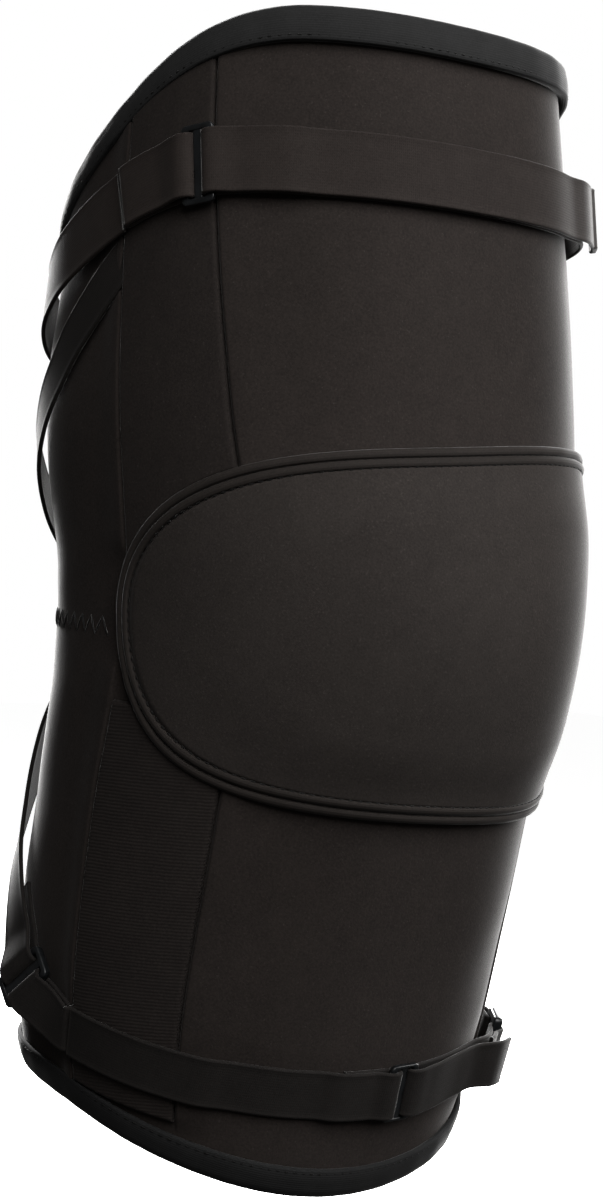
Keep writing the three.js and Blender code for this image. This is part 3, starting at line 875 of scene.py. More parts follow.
@dataclass(frozen=True)
class SleeveSkin:
    """The padded tube's outer cloth and its lining.

    The outer cloth's columns follow the pocket seams and lie close together beside them, so that
    the cloth can rise out of each seam's groove.
    """

    rows: int = 210
    lining_columns: int = 144
    beside_seam: tuple[float, ...] = (0.0, 0.3, 0.6, 0.9, 1.2, 1.6, 2.1, 2.8, 3.7, 4.8, 6.1)
    under_bottom_tape: float = 1.6
    under_top_tape: float = 2.4

    def build(self) -> bpy.types.Object:
        """Makes the tube, open at both ends.

        Returns:
            The outer cloth and the lining as one object.
        """
        maker = MeshMaker()
        share = np.linspace(0, 1, self.rows)
        angle = self._columns(*self._seams(share))
        along = self._along(angle, share)
        points = FORM.point(angle, along, cloth_lift(angle, along) + seam_rise(angle, along))
        maker.add(Patch(points[:-1], angle * MM_PER_DEGREE, along, wrap_u=True))
        share = np.linspace(1, 0, self.rows // 2)
        angle = np.linspace(-180, 180, self.lining_columns + 1)[:, None] + 0 * share
        along = self._along(angle, share)
        extra = soft_waver(angle, along) + crook_folds(angle, along)
        inner = FORM.point(angle, along, extra - SLEEVE.wall)
        maker.add(Patch(inner[:-1], angle * MM_PER_DEGREE, along, wrap_u=True))
        return maker.build("sleeve_cloth")

    def dress(self, dresser: Dresser) -> None:
        """Builds and dresses the sleeve."""
        dresser.dress(self.build(), KNIT, "sleeve_cloth", "sleeve")

    def _along(self, angle: Array, share: Array) -> Array:
        """Distances along the arm, from just inside one rim to just inside the other.

        Args:
            angle: Degrees from the front.
            share: Share of the way from the bottom rim to the top rim.

        Returns:
            Millimetres from the elbow.
        """
        low = FORM.bottom_edge(angle) + self.under_bottom_tape
        high = FORM.top_edge(angle) - self.under_top_tape
        return low + (high - low) * share

    def _seams(self, share: Array) -> tuple[Array, Array]:
        """Angles at which each row crosses a pocket's back and front seams.

        Args:
            share: Share of the way of each row.

        Returns:
            The angles of the two seams.
        """
        back, front = np.full_like(share, POCKET.elbow_back), np.full_like(share, POCKET.elbow_front)
        for _ in range(6):
            back = seam_angles(self._along(back, share))[0]
            front = seam_angles(self._along(front, share))[1]
        return back, front

    def _columns(self, back: Array, front: Array) -> Array:
        """Angles of all columns in each row, gathered beside the seams.

        Args:
            back: Back seam's angle in each row.
            front: Front seam's angle in each row.

        Returns:
            The angles, column by column.
        """
        near = np.array(self.beside_seam)[:, None]
        reach = self.beside_seam[-1]
        ahead = np.linspace(0, 1, 36)[:-1, None] * (front - reach)
        between = front + np.linspace(0, 1, 14)[1:-1, None] * (back - front)
        behind = back + reach + np.linspace(0, 1, 62)[1:, None] * (180 - back - reach)
        half = np.concatenate([ahead, front - near[::-1], between, back + near, behind])
        return np.concatenate([-half[::-1], half[1:]])


@dataclass(frozen=True)
class Binding:
    """Stretch tape folded over a rim.

    Attributes:
        name: The piece's name, which is its node's too.
        finish: Its cloth.
        edge: The rim's distance along the arm for an angle.
        height: Height of the tape.
        front: Thickness at the front.
        inward: The way from the rim onto the sleeve, 1 up the arm or -1 down it.
        crook: Thickness behind the crook.
        nose: Depth of the rounded fold.
        puff: How far each face bulges between the fold and the hem.
        columns: Columns of the mesh.
    """

    name: str
    finish: ClothFinish
    edge: Callable[[Array], Array]
    height: float
    front: float
    inward: int
    crook: float = 0.8
    nose: float = 3.2
    puff: float = 0.22
    columns: int = 320

    def thickness(self, angle: Array) -> Array:
        """Thickness of the tape, which is stretched thinner round the crook."""
        return self.front + (self.crook - self.front) * ease(np.abs(wrap_angle(angle)), 50, 115)

    def build(self) -> bpy.types.Object:
        """Makes the folded tape.

        Returns:
            The object.
        """
        angle = np.linspace(-180, 180, self.columns + 1)
        thick = self.thickness(angle)[:, None]
        turn = np.radians(np.linspace(-90, 90, 17))[None, :]
        mid = -SLEEVE.wall / 2
        half = SLEEVE.wall / 2 + WEB.seat_gap + thick
        depth = self.nose * (1 - np.cos(turn)) ** 1.15 * np.ones_like(thick)
        lift = mid - half * np.sin(turn)
        flank = np.linspace(self.nose, self.height, 10)[None, 1:] * np.ones_like(thick)
        puff = self.puff * np.sin(np.pi * np.linspace(0, 1, 10)[None, 1:])
        hem = np.array([0.15, 0.55, 1.0])[None, :]
        lip_depth = self.height + 0.35 * np.sin(hem * np.pi) * np.ones_like(thick)
        outer_lip = mid + half - thick * hem * 1.25
        inner_lip = mid - half + thick * hem * 1.25
        depth = np.concatenate([lip_depth[:, ::-1], flank[:, ::-1], depth[:, ::-1], flank, lip_depth], 1)
        outer = mid + half + puff
        inner = mid - half - puff
        lift = np.concatenate([outer_lip[:, ::-1], outer[:, ::-1], lift, inner, inner_lip], 1)
        spread = np.broadcast_to(angle[:, None], depth.shape)
        ripple = 0.05 * np.sin(np.radians(spread) * 37) + 0.06 * np.sin(np.radians(spread) * 11 + 1)
        lift = lift + ripple * np.sign(lift - mid)
        along = self.edge(spread) + self.inward * depth
        points = FORM.point(spread, along, lift + 0.5 * soft_waver(spread, along))
        steps = np.hypot(np.diff(depth), np.diff(lift))
        walked = np.concatenate([np.zeros((len(angle), 1)), np.cumsum(steps, 1)], 1)
        maker = MeshMaker()
        maker.add(Patch(points[:-1], spread * MM_PER_DEGREE, walked, wrap_u=True))
        return maker.build(self.name + "_tape", outward=self.inward > 0)

    def dress(self, dresser: Dresser) -> None:
        """Builds and dresses the tape."""
        dresser.dress(self.build(), self.finish, "binding_cloth", self.name)

    def stitch_line(self, depth: float) -> tuple[Array, Array]:
        """Points and outward directions of a stitch row a depth below the rim.

        Args:
            depth: Millimetres from the rim onto the sleeve.

        Returns:
            The points and their outward directions.
        """
        angle = np.linspace(-180, 180, 721)[:-1]
        along = self.edge(angle) + self.inward * depth
        lift = WEB.seat_gap + self.thickness(angle) + STITCH_STAND
        points = FORM.point(angle, along, lift)
        return points, unit(FORM.point(angle, along, lift + 1) - points)


TOP_BINDING = Binding("top_binding", TAPE, FORM.top_edge, height=8.5, front=2.0, inward=-1)
BOTTOM_BINDING = Binding("bottom_binding", SHADED_TAPE, FORM.bottom_edge, height=7.4, front=1.2, inward=1)


@dataclass(frozen=True)
class StitchRow:
    """Separate stitches of thread laid along a line on the cloth."""

    length: float = 2.0
    gap: float = 0.9
    radius: float = 0.17
    pitch: float = 0.25
    sides: int = 6
    rings: int = 5

    def along(self, points: Array, normals: Array, closed: bool) -> Stitches:
        """Cuts a line into stitches.

        Args:
            points: The line's points.
            normals: Outward direction at each.
            closed: Whether the line comes back to its start.

        Returns:
            The stitches.
        """
        both = resample(np.concatenate([points, normals], 1), self.pitch, closed)
        step = max(int(round((self.length + self.gap) / self.pitch)), 2)
        reach = max(int(round(self.length / self.pitch)), 1)
        stitches = []
        for i in range(0, len(both) - reach, step):
            stitches.append((both[i, :3], both[i + reach, :3], unit(both[i + reach // 2, 3:])))
        return stitches

    def build(self, name: str, stitches: Stitches) -> bpy.types.Object:
        """Makes one object of all the stitches, each a slim spindle that dips in at its ends.

        Args:
            name: The object's name.
            stitches: The stitches.

        Returns:
            The object.
        """
        maker = MeshMaker()
        t = np.linspace(0, 1, self.rings)
        swell = np.sin(np.pi * (0.08 + 0.84 * t)) ** 0.6
        turn = np.linspace(0, 2 * np.pi, self.sides + 1)
        for start, end, normal in stitches:
            run = end - start
            side = unit(np.cross(run, normal))
            arch = (swell - 0.85) * self.radius * 1.3
            middle = start + run * t[:, None] + normal * arch[:, None]
            ring = np.cos(turn)[None, :, None] * side + np.sin(turn)[None, :, None] * normal
            points = middle[:, None] + ring * (self.radius * swell)[:, None, None]
            maker.add(Patch(points[:, :-1], t * self.length, turn * self.radius, wrap_v=True))
        return maker.build(name)


# Elbow pad


def pad_edge(angle: Array, inset: float, up: int) -> Array:
    """Distance along the arm of the pad's upper or lower edge, drawn in by an inset.

    Args:
        angle: Degrees from the front.
        inset: Millimetres inward from the outline.
        up: 1 for the upper edge, -1 for the lower edge.

    Returns:
        The edge's distance along the arm. The left end is rounder above than below, and the upper
        edge stands a little higher on its right half.
    """
    share = np.minimum(np.abs(angle) / (PAD.half_angle - inset), 1)
    fullness = np.where(angle < 0, 3.85 - 0.95 * up, 4.0)
    step = (PAD.centre_step + PAD.right_step * np.tanh(angle / PAD.step_spread)) * (up > 0)
    half = PAD.half_height + PAD.flare * angle + step - inset
    rise = PAD.tip_rise * (np.abs(angle) / PAD.half_angle) ** 2
    return rise - PAD.drop + up * half * np.sqrt(np.maximum(1 - share**fullness, 0))


def pad_outline(inset: float, count: int) -> Array:
    """Finds spots on the pad's outline at even distances.

    Args:
        inset: Millimetres inward from the outline.
        count: How many spots.

    Returns:
        The angle and the distance along the arm of each.
    """
    turn = np.linspace(-np.pi, np.pi, 2881)[:-1]
    angle = (PAD.half_angle - inset) * np.sin(turn)
    along = np.where(np.cos(turn) > 0, pad_edge(angle, inset, 1), pad_edge(angle, inset, -1))
    spots = FORM.point(angle, along, 0)
    walked = lengths_along(np.concatenate([spots, spots[:1]]))
    at = np.linspace(0, walked[-1], count + 1)[:-1]
    wrapped = [np.append(angle, angle[0]), np.append(along, along[0])]
    return np.stack([np.interp(at, walked, column) for column in wrapped], -1)


@dataclass(frozen=True)
class ElbowPad:
    """The domed face of the pad, whose cloth a simulation lets settle under the foam's push.

    Attributes:
        spokes: Points round each ring of the mesh.
        rings: Rings from the edge to the middle.
        under_tape: How far the face reaches under its tape.
        middle_angle: Angle at which the rings meet.
        push: The foam's push in the simulation.
        steps: Steps of the simulation.
        most_settled: Most that it may move the cloth.
        even_from: Distance from the edge past which the cloth moves by the same all round.
        skip_rings: Rings beside the edge that the simulation leaves out.
        every_ring: Which of the other rings it takes.
        every_spoke: Which of the spokes it takes.
    """

    spokes: int = 260
    rings: int = 54
    under_tape: float = 0.5
    middle_angle: float = 4.0
    push: float = 4.0
    steps: int = 20
    most_settled: float = 1.1
    even_from: float = 26.0
    skip_rings: int = 10
    every_ring: int = 2
    every_spoke: int = 4

    def lift_at(self, inward: Array, angle: Array, along: Array) -> Array:
        """Finds the lift of the pad's face.

        Args:
            inward: Millimetres in from the face's edge.
            angle: Degrees from the front.
            along: Millimetres from the elbow, up the arm.

        Returns:
            Millimetres off the cloth.
        """
        hidden = PAD.tape_lift - 0.7 + 0.7 * ease(inward, 0, 1.4)
        rim = hidden + (PAD.lift - PAD.tape_lift) * (1 - np.exp(-np.maximum(inward - 1, 0) / 4.5))
        dome = np.clip(np.cos(np.radians(angle)), 0, 1) * np.exp(-((along / PAD.crown_reach) ** 2))
        return rim + PAD.crown * dome * ease(inward, 2, 22)

    def build(self) -> bpy.types.Object:
        """Makes the pad's face.

        Returns:
            The object.
        """
        outline = pad_outline(PAD.tape_width - self.under_tape, self.spokes)
        centre = np.array([self.middle_angle, -PAD.drop])
        near = np.concatenate([np.arange(11) * 0.35, [4.1, 4.9, 6.0, 7.4]])
        reach = np.hypot(*(outline - centre).T)
        share_in = 1 - near / np.median(reach)
        share = np.concatenate([share_in, np.linspace(share_in[-1], 0.02, self.rings - len(near) + 1)[1:]])
        spots = centre + (outline - centre)[None] * share[:, None, None]
        angle, along = spots[..., 0], spots[..., 1]
        inward = (1 - share[:, None]) * np.median(reach) + 0 * reach
        points = FORM.point(angle, along, self.lift_at(inward, angle, along))
        out = unit(FORM.point(angle, along, 1) - FORM.point(angle, along, 0))
        points = self._settle(points, inward, out)
        points[-1] = points[-1].mean(axis=0)
        spots = np.concatenate([spots, spots[:, :1]], 1)
        maker = MeshMaker()
        maker.add(Patch(points, spots[..., 0], spots[..., 1], wrap_v=True))
        return maker.build("elbow_pad_cloth", outward=False)

    def dress(self, dresser: Dresser) -> None:
        """Builds and dresses the pad."""
        pad = dresser.dress(self.build(), PAD_KNIT, "pad_cloth", "elbow_pad")

    def _settle(self, points: Array, inward: Array, out: Array) -> Array:
        """Runs the cloth simulation on a coarse copy of the face and adds how far it moved.

        Args:
            points: The face's points, ring by ring.
            inward: How far each point lies in from the face's edge.
            out: The outward direction at each point.

        Returns:
            The points after the cloth has settled.
        """
        rows, cols = slice(self.skip_rings, None, self.every_ring), slice(None, None, self.every_spoke)
        coarse, depth = points[rows, cols], inward[rows, cols]
        height, around = coarse.shape[:2]
        maker = MeshMaker()
        u, v = np.arange(height, dtype=float), np.arange(around + 1, dtype=float)
        maker.add(Patch(coarse, u, v, wrap_v=True))
        shell = maker.build("pad_settling", outward=False)
        held = shell.vertex_groups.new(name="edge")
        held.add([int(i) for i in np.flatnonzero(depth.ravel() < 7.0)], 1.0, "REPLACE")
        cloth = shell.modifiers.new("settle", "CLOTH")
        cloth.settings.use_pressure = True
        cloth.settings.uniform_pressure_force = self.push
        cloth.settings.effector_weights.gravity = 0
        cloth.settings.vertex_group_mass = "edge"
        cloth.settings.quality = 6
        cloth.settings.tension_stiffness = 18
        cloth.settings.bending_stiffness = 0.8
        scene = bpy.context.scene
        for step in range(1, self.steps + 1):
            scene.frame_set(step)
        moved = shell.evaluated_get(bpy.context.evaluated_depsgraph_get()).data
        after = np.empty(len(moved.vertices) * 3)
        moved.vertices.foreach_get("co", after)
        rise = ((after.reshape(coarse.shape) / MM - coarse) * out[rows, cols]).sum(axis=-1)
        LOG.info("pad settled: from %.2f to %.2f mm", float(rise.min()), float(rise.max()))
        scene.frame_set(1)
        bpy.data.objects.remove(shell)
        rise = self._even(np.clip(rise, -self.most_settled, self.most_settled), depth)
        return points + out * (self._spread(rise, points.shape[:2]) * ease(inward, 5, 16))[..., None]

    def _even(self, rise: Array, depth: Array) -> Array:
        """Evens out the rise, and makes it the same all round near the middle of the grid.

        Args:
            rise: How far each point of the coarse copy rose, below 0 where it sank.
            depth: How far each point lies in from the face's edge.

        Returns:
            The smooth rise.
        """
        for _ in range(12):
            rise = (np.roll(rise, 1, 1) + 2 * rise + np.roll(rise, -1, 1)) / 4
            rise[1:-1] = (rise[:-2] + 2 * rise[1:-1] + rise[2:]) / 4
        ring = int(np.argmax(depth[:, 0] > self.even_from))
        middle = ease(depth, self.even_from - 12, self.even_from)
        return rise * (1 - middle) + rise[ring].mean() * middle

    def _spread(self, rise: Array, shape: tuple[int, ...]) -> Array:
        """Carries the rise of the coarse copy's points over to the whole face.

        Args:
            rise: The rise of the coarse copy's points.
            shape: Rings and spokes of the whole face.

        Returns:
            The rise of each point of the face.
        """
        rows_at = np.arange(shape[0])[self.skip_rings :: self.every_ring]
        cols_at = np.append(np.arange(shape[1])[:: self.every_spoke], shape[1])
        closed = np.concatenate([rise, rise[:, :1]], 1)
        wide = np.stack([np.interp(np.arange(shape[1]), cols_at, row) for row in closed])
        tall = [np.interp(np.arange(shape[0]), rows_at, column, left=0.0) for column in wide.T]
        return np.stack(tall, 1)


# The tape round the pad, from its outer foot over the groove of the first stitches to its inner
# lip: inset from the outline and lift off the cloth.
PAD_TAPE_INSET = (0.5, 0.0, 0.1, 0.5, 1.1, 1.6, 1.9, 2.05, 2.15, 2.25, 2.4, 2.7, 3.2, 3.7, 4.05, 4.2, 4.25)
PAD_TAPE_LIFT = (0.2, 1.5, 2.1, 2.6, 2.78, 2.72, 2.5, 2.2, 2.0, 2.2, 2.5, 2.9, 3.1, 3.05, 2.85, 2.6, 2.2)


@dataclass(frozen=True)
class PadTape:
    """Binding tape laid flat round the pad, sewn down by two rows of stitches."""

    spokes: int = 340
    stitch_spots: int = 720
    length: float = 330
    pucker: float = 0.04
    pucker_every: float = 8.2

    def build(self) -> bpy.types.Object:
        """Makes the tape.

        Returns:
            The object.
        """
        inset, lift = np.array(PAD_TAPE_INSET), np.array(PAD_TAPE_LIFT)
        middle = PAD.tape_width / 2
        spots, inward = self._frame(middle)
        angle = spots[:, None, 0] + (inset - middle)[None] * inward[:, None, 0]
        along = spots[:, None, 1] + (inset - middle)[None] * inward[:, None, 1]
        walk = np.arange(len(spots))[:, None]
        outer_half = (np.abs(inset - 1.3) < 1)[None]
        ripple = self.pucker * np.sin(walk * 2 * np.pi / self.pucker_every) * outer_half
        points = FORM.point(angle, along, lift[None] + ripple)
        maker = MeshMaker()
        maker.add(Patch(points, np.linspace(0, self.length, self.spokes + 1), inset, wrap_u=True))
        return maker.build("pad_binding_tape", outward=False)

    def dress(self, dresser: Dresser) -> None:
        """Builds and dresses the tape."""
        dresser.dress(self.build(), PAD_TAPE, "binding_cloth", "pad_binding")

    def _frame(self, inset: float) -> tuple[Array, Array]:
        """Finds the tape's run and the way across it.

        Args:
            inset: Millimetres inward from the pad's outline.

        Returns:
            Spots on the outline and, for each, a step of 1 mm towards the pad's middle.
        """
        spots = pad_outline(inset, self.spokes)
        after = FORM.point(spots[:, 0] + 0.5, spots[:, 1], 0)
        scale = np.linalg.norm(after - FORM.point(spots[:, 0] - 0.5, spots[:, 1], 0), axis=-1)
        ahead = np.roll(spots, -1, axis=0) - np.roll(spots, 1, axis=0)
        flat = unit(np.stack([ahead[:, 0] * scale, ahead[:, 1]], -1))
        return spots, np.stack([flat[:, 1] / scale, -flat[:, 0]], -1)

    def stitch_line(self, inset: float, lift: float) -> tuple[Array, Array]:
        """Points and outward directions of a stitch row an inset from the pad's edge.

        Args:
            inset: Millimetres inward from the pad's outline.
            lift: Millimetres off the cloth.

        Returns:
            The points and their outward directions.
        """
        spots = pad_outline(inset, self.stitch_spots)
        points = FORM.point(spots[:, 0], spots[:, 1], lift)
        return points, unit(FORM.point(spots[:, 0], spots[:, 1], lift + 1) - points)


@dataclass(frozen=True)
class Seams:
    """The rows of stitches on the tapes and the zigzag seam behind the crook.

    Attributes:
        length: Length of a stitch on the tapes.
        gap: Gap between two of them.
        top_depth: Depth of the row below the top rim.
        bottom_depth: Depth of the row above the bottom rim.
        pad_first_lift: Lift of the pad's first row, which lies in its tape's groove.
        pad_second_lift: Lift of the pad's second row, at the tape's inner lip.
        zigzag_from: Angle at which the zigzag starts.
        zigzag_to: Angle at which it ends.
        zigzag_along: Its distance along the arm.
        zigzag_height: Its height.
        zigzag_pitch: Degrees from one peak to the next.
        zigzag_radius: Radius of its thread, drawn thicker than the real one so that it shows.
        zigzag_stand: How far it stands off the cloth.
    """

    length: float = 1.25
    gap: float = 1.0
    top_depth: float = 7.6
    bottom_depth: float = 6.6
    pad_first_lift: float = 2.02
    pad_second_lift: float = 2.62
    zigzag_from: float = 83.0
    zigzag_to: float = 277.0
    zigzag_along: float = -5.0
    zigzag_height: float = 4.4
    zigzag_pitch: float = 4.8
    zigzag_radius: float = 0.2
    zigzag_stand: float = 0.12

    def dress(self, dresser: Dresser) -> None:
        """Builds and dresses the rows and the zigzag.

        Args:
            dresser: What dresses the pieces.
        """
        rows = StitchRow(self.length, self.gap)
        tape = PadTape()
        for name, line in (
            ("top_binding_stitches", TOP_BINDING.stitch_line(self.top_depth)),
            ("bottom_binding_stitches", BOTTOM_BINDING.stitch_line(self.bottom_depth)),
            ("pad_first_stitches", tape.stitch_line(PAD.first_row, self.pad_first_lift)),
            ("pad_second_stitches", tape.stitch_line(PAD.tape_width + STITCH_STAND, self.pad_second_lift)),
        ):
            dresser.dress(rows.build(name, rows.along(*line, closed=True)), THREAD, "binding_cloth")
        zigzag = StitchRow(radius=self.zigzag_radius).build("crook_zigzag_stitches", self._zigzag())
        dresser.dress(zigzag, THREAD, "binding_cloth")

    def _zigzag(self) -> Stitches:
        """Lays a zigzag of thread round the crook.

        Returns:
            Its stitches.
        """
        stitches = []
        for i in range(int((self.zigzag_to - self.zigzag_from) / self.zigzag_pitch)):
            for k, flip in enumerate((1, -1)):
                spots = self.zigzag_from + (i + np.array([k, k + 1]) / 2) * self.zigzag_pitch
                heights = self.zigzag_along + flip * np.array([-1, 1]) * self.zigzag_height / 2
                ends = FORM.point(spots, heights, self.zigzag_stand + cloth_lift(spots, heights))
                middle = spots.mean(), heights.mean()
                out = unit(FORM.point(*middle, 1) - FORM.point(*middle, 0))
                stitches.append((ends[0], ends[1], out))
        return stitches


# Side pockets


@dataclass(frozen=True)
class Pocket:
    """Panel of cloth over a stay, sewn on along its sides.

    Attributes:
        side: -1 for the left pocket, 1 for the right one.
        upper: Whether it lies above the pad.
        wide: Width over which its edges' steps are counted.
        tall: Height over which they are counted.
        turn_in: How far in from its edges the cloth turns down.
    """

    side: int
    upper: bool
    wide: float = 29.0
    tall: float = 95.0
    turn_in: float = 0.85

    def _seams(self, along: Array) -> tuple[Array, Array]:
        """Angles of the panel's back and front sides."""
        back, front = seam_angles(along)
        return self.side * back, self.side * front

    def _ends(self, angle: Array, u: Array) -> tuple[Array, Array]:
        """Finds where the panel ends, tucked under the pad's tape at the elbow.

        Args:
            angle: Degrees from the front.
            u: Share of the way from the back side to the front side.

        Returns:
            Distances along the arm of the lower and the upper end.
        """
        at_pad = pad_edge(angle, POCKET.tuck, 1 if self.upper else -1)
        if self.upper:
            return np.maximum(at_pad, POCKET.upper_corner), FORM.top_edge(angle) - POCKET.top_hem
        low = -SLEEVE.lower_length + POCKET.rib_inset + POCKET.rib_slope * (1 - u)
        low = np.maximum(low, FORM.bottom_edge(angle) + POCKET.bottom_hem)
        return low, np.minimum(at_pad, -POCKET.lower_corner)

    @property
    def name(self) -> str:
        """The pocket's name, which is its node's too."""
        return f"{'upper' if self.upper else 'lower'}_pocket_{'right' if self.side > 0 else 'left'}"

    def build(self) -> bpy.types.Object:
        """Makes the panel, with its edges turned down to the sleeve.

        Returns:
            The object.
        """
        edge = np.array([0, 0.12, 0.3, 0.55, 0.85, 1.3, 2.0])
        u = np.concatenate([edge / 30, np.linspace(0.1, 0.9, 26), 1 - edge[::-1] / 30])
        v = np.concatenate([edge / 95, np.linspace(0.04, 0.96, 70), 1 - edge[::-1] / 95])
        uu, vv = np.meshgrid(u, v, indexing="ij")
        angle, along = np.zeros_like(uu), np.full_like(uu, 60.0 if self.upper else -60.0)
        for _ in range(8):
            back, front = self._seams(along)
            angle = back + (front - back) * uu
            low, high = self._ends(angle, uu)
            along = low + (high - low) * vv
        inward = np.minimum(np.minimum(uu, 1 - uu) * self.wide, np.minimum(vv, 1 - vv) * self.tall)
        turned = np.sqrt(np.clip(1 - (1 - np.clip(inward / self.turn_in, 0, 1)) ** 2, 0, 1))
        top = WEB.seat_gap + WEB.pocket_cloth - 0.1 - 0.6 * (self.side > 0 and not self.upper)
        lift = -0.5 + (top + 0.5) * turned + 0.5 * soft_waver(angle, along) * (inward > 0.5)
        points = FORM.point(angle, along, lift)
        slope = self._level(angle)
        maker = MeshMaker()
        maker.add(Patch(points, angle * MM_PER_DEGREE, along + slope))
        return maker.build(self.name + "_cloth", outward=self.side > 0)

    def dress(self, dresser: Dresser) -> None:
        """Builds and dresses the panel."""
        finish, slot = (POCKET_KNIT, "sleeve_cloth") if self.upper else (RIB, "ribbed_cloth")
        dresser.dress(self.build(), finish, slot, self.name)

    def _level(self, angle: Array) -> Array:
        """Drift that keeps the ribs level where the panel narrows."""
        return -self.side * 0.087 * (np.abs(angle) - 66) * (not self.upper)


# Straps


@dataclass(frozen=True)
class Course:
    """Where a strap runs: distance along the arm and tilt for each angle."""

    along: Callable[[Array], Array]
    lean: Callable[[Array], Array]


def level(angle: Array) -> Array:
    """No tilt."""
    return np.zeros_like(np.asarray(angle, float))


def top_course() -> Course:
    """Course of the upper strap, which drops behind the crook."""
    front, drop = SLEEVE.upper_length - WEB.top_below_rim, WEB.top_drop
    return Course(lambda angle: front - drop * ease(np.abs(wrap_angle(angle)), 50, 180), level)


def bottom_course() -> Course:
    """Lays the lower strap's course, which rises behind and sags at the side buckle.

    Returns:
        The course.
    """

    def along(angle: Array) -> Array:
        """Works out how far along the arm the strap lies.

        Args:
            angle: Degrees from the front.

        Returns:
            Millimetres from the elbow, up the arm.
        """
        sag = WEB.side_sag * ease(angle, 40, 58)
        rise = WEB.bottom_rise * ease(np.abs(wrap_angle(angle)), 0, 115)
        return -SLEEVE.lower_length + WEB.bottom_above_rim + rise - sag

    return Course(along, level)


@dataclass(frozen=True)
class Frames:
    """Directions of a strap at some angles of its course."""

    run: Array
    across: Array
    out: Array
    normal: Array
    scale: Array


def frames_on(course: Course, angle: Array) -> Frames:
    """Finds a strap's directions along, across and out of it.

    Args:
        course: Where the strap runs.
        angle: Degrees from the front.

    Returns:
        The directions at each angle, and the cloth's own outward direction.
    """
    angle = np.asarray(angle, float)
    before = FORM.point(angle - 0.5, course.along(angle - 0.5), 0)
    after = FORM.point(angle + 0.5, course.along(angle + 0.5), 0)
    along = course.along(angle)
    up = FORM.point(angle, along + 0.5, 0) - FORM.point(angle, along - 0.5, 0)
    scale = np.linalg.norm(after - before, axis=-1)
    run = unit(after - before)
    normal = unit(np.cross(run, up))
    tilt = -np.radians(course.lean(angle))[..., None]
    out = normal * np.cos(tilt) + np.cross(run, normal) * np.sin(tilt)
    return Frames(run, unit(np.cross(out, run)), out, normal, scale)


@dataclass(frozen=True)
class Seat:
    """Place of a slide buckle on a course."""

    course: Course
    angle: float
    lift: float

    @property
    def frames(self) -> Frames:
        """The strap's directions at the buckle."""
        return frames_on(self.course, np.array(self.angle))

    @property
    def middle(self) -> Array:
        """The buckle's middle."""
        flat = FORM.point(self.angle, self.course.along(np.array(self.angle)), 0)
        return flat + self.frames.normal * self.lift

    def bar_at(self, side: int) -> float:
        """Angle of one of the two bars."""
        return self.angle + side * WEB.bar_spacing / 2 / float(self.frames.scale)

    def place(self, x: Array, z: Array) -> Stations:
        """Stations in the buckle's own frame.

        Args:
            x: Millimetres along the strap.
            z: Millimetres outward.

        Returns:
            The stations.
        """
        frames = self.frames
        middle = self.middle + np.multiply.outer(x, frames.run) + np.multiply.outer(z, frames.out)
        return middle, np.broadcast_to(frames.across, middle.shape)

    def round_bar(self, side: int, came_from: int) -> Stations:
        """Leads webbing round one bar, from under it to over it.

        Args:
            side: Which bar, -1 or 1.
            came_from: The side that the webbing comes from, -1 or 1.

        Returns:
            The stations.
        """
        bar = side * WEB.bar_spacing / 2
        turn = np.radians(np.linspace(-90, 90, 15))
        nose = WEB.bar_width / 2 - 0.2
        clear = WEB.bar_width / 2 + WEB.fold_gap
        x = np.concatenate([[clear], -(nose + WEB.wrap * np.cos(turn)), [clear]]) * came_from + bar
        z = np.concatenate([[-WEB.wrap], WEB.wrap * np.sin(turn), [WEB.wrap]])
        return self.place(x, z)


def layer(course: Course, first: float, last: float, lift_at: Callable[[Array], Array]) -> Stations:
    """Stations along a stretch of a course.

    Args:
        course: Where the strap runs.
        first: First angle.
        last: Last angle.
        lift_at: Lift of the strap at an angle.

    Returns:
        The stations.
    """
    count = max(int(math.ceil(abs(last - first) / 2.5)), 1)
    angle = np.linspace(first, last, count + 1)
    frames = frames_on(course, angle)
    flat = FORM.point(angle, course.along(angle), 0)
    return flat + frames.normal * np.asarray(lift_at(angle))[:, None], frames.across


def chain(*parts: Stations) -> Stations:
    """Joins stretches of stations into one row."""
    return np.concatenate([p[0] for p in parts]), np.concatenate([p[1] for p in parts])


def backward(part: Stations) -> Stations:
    """The same stations from last to first."""
    return part[0][::-1], part[1][::-1]


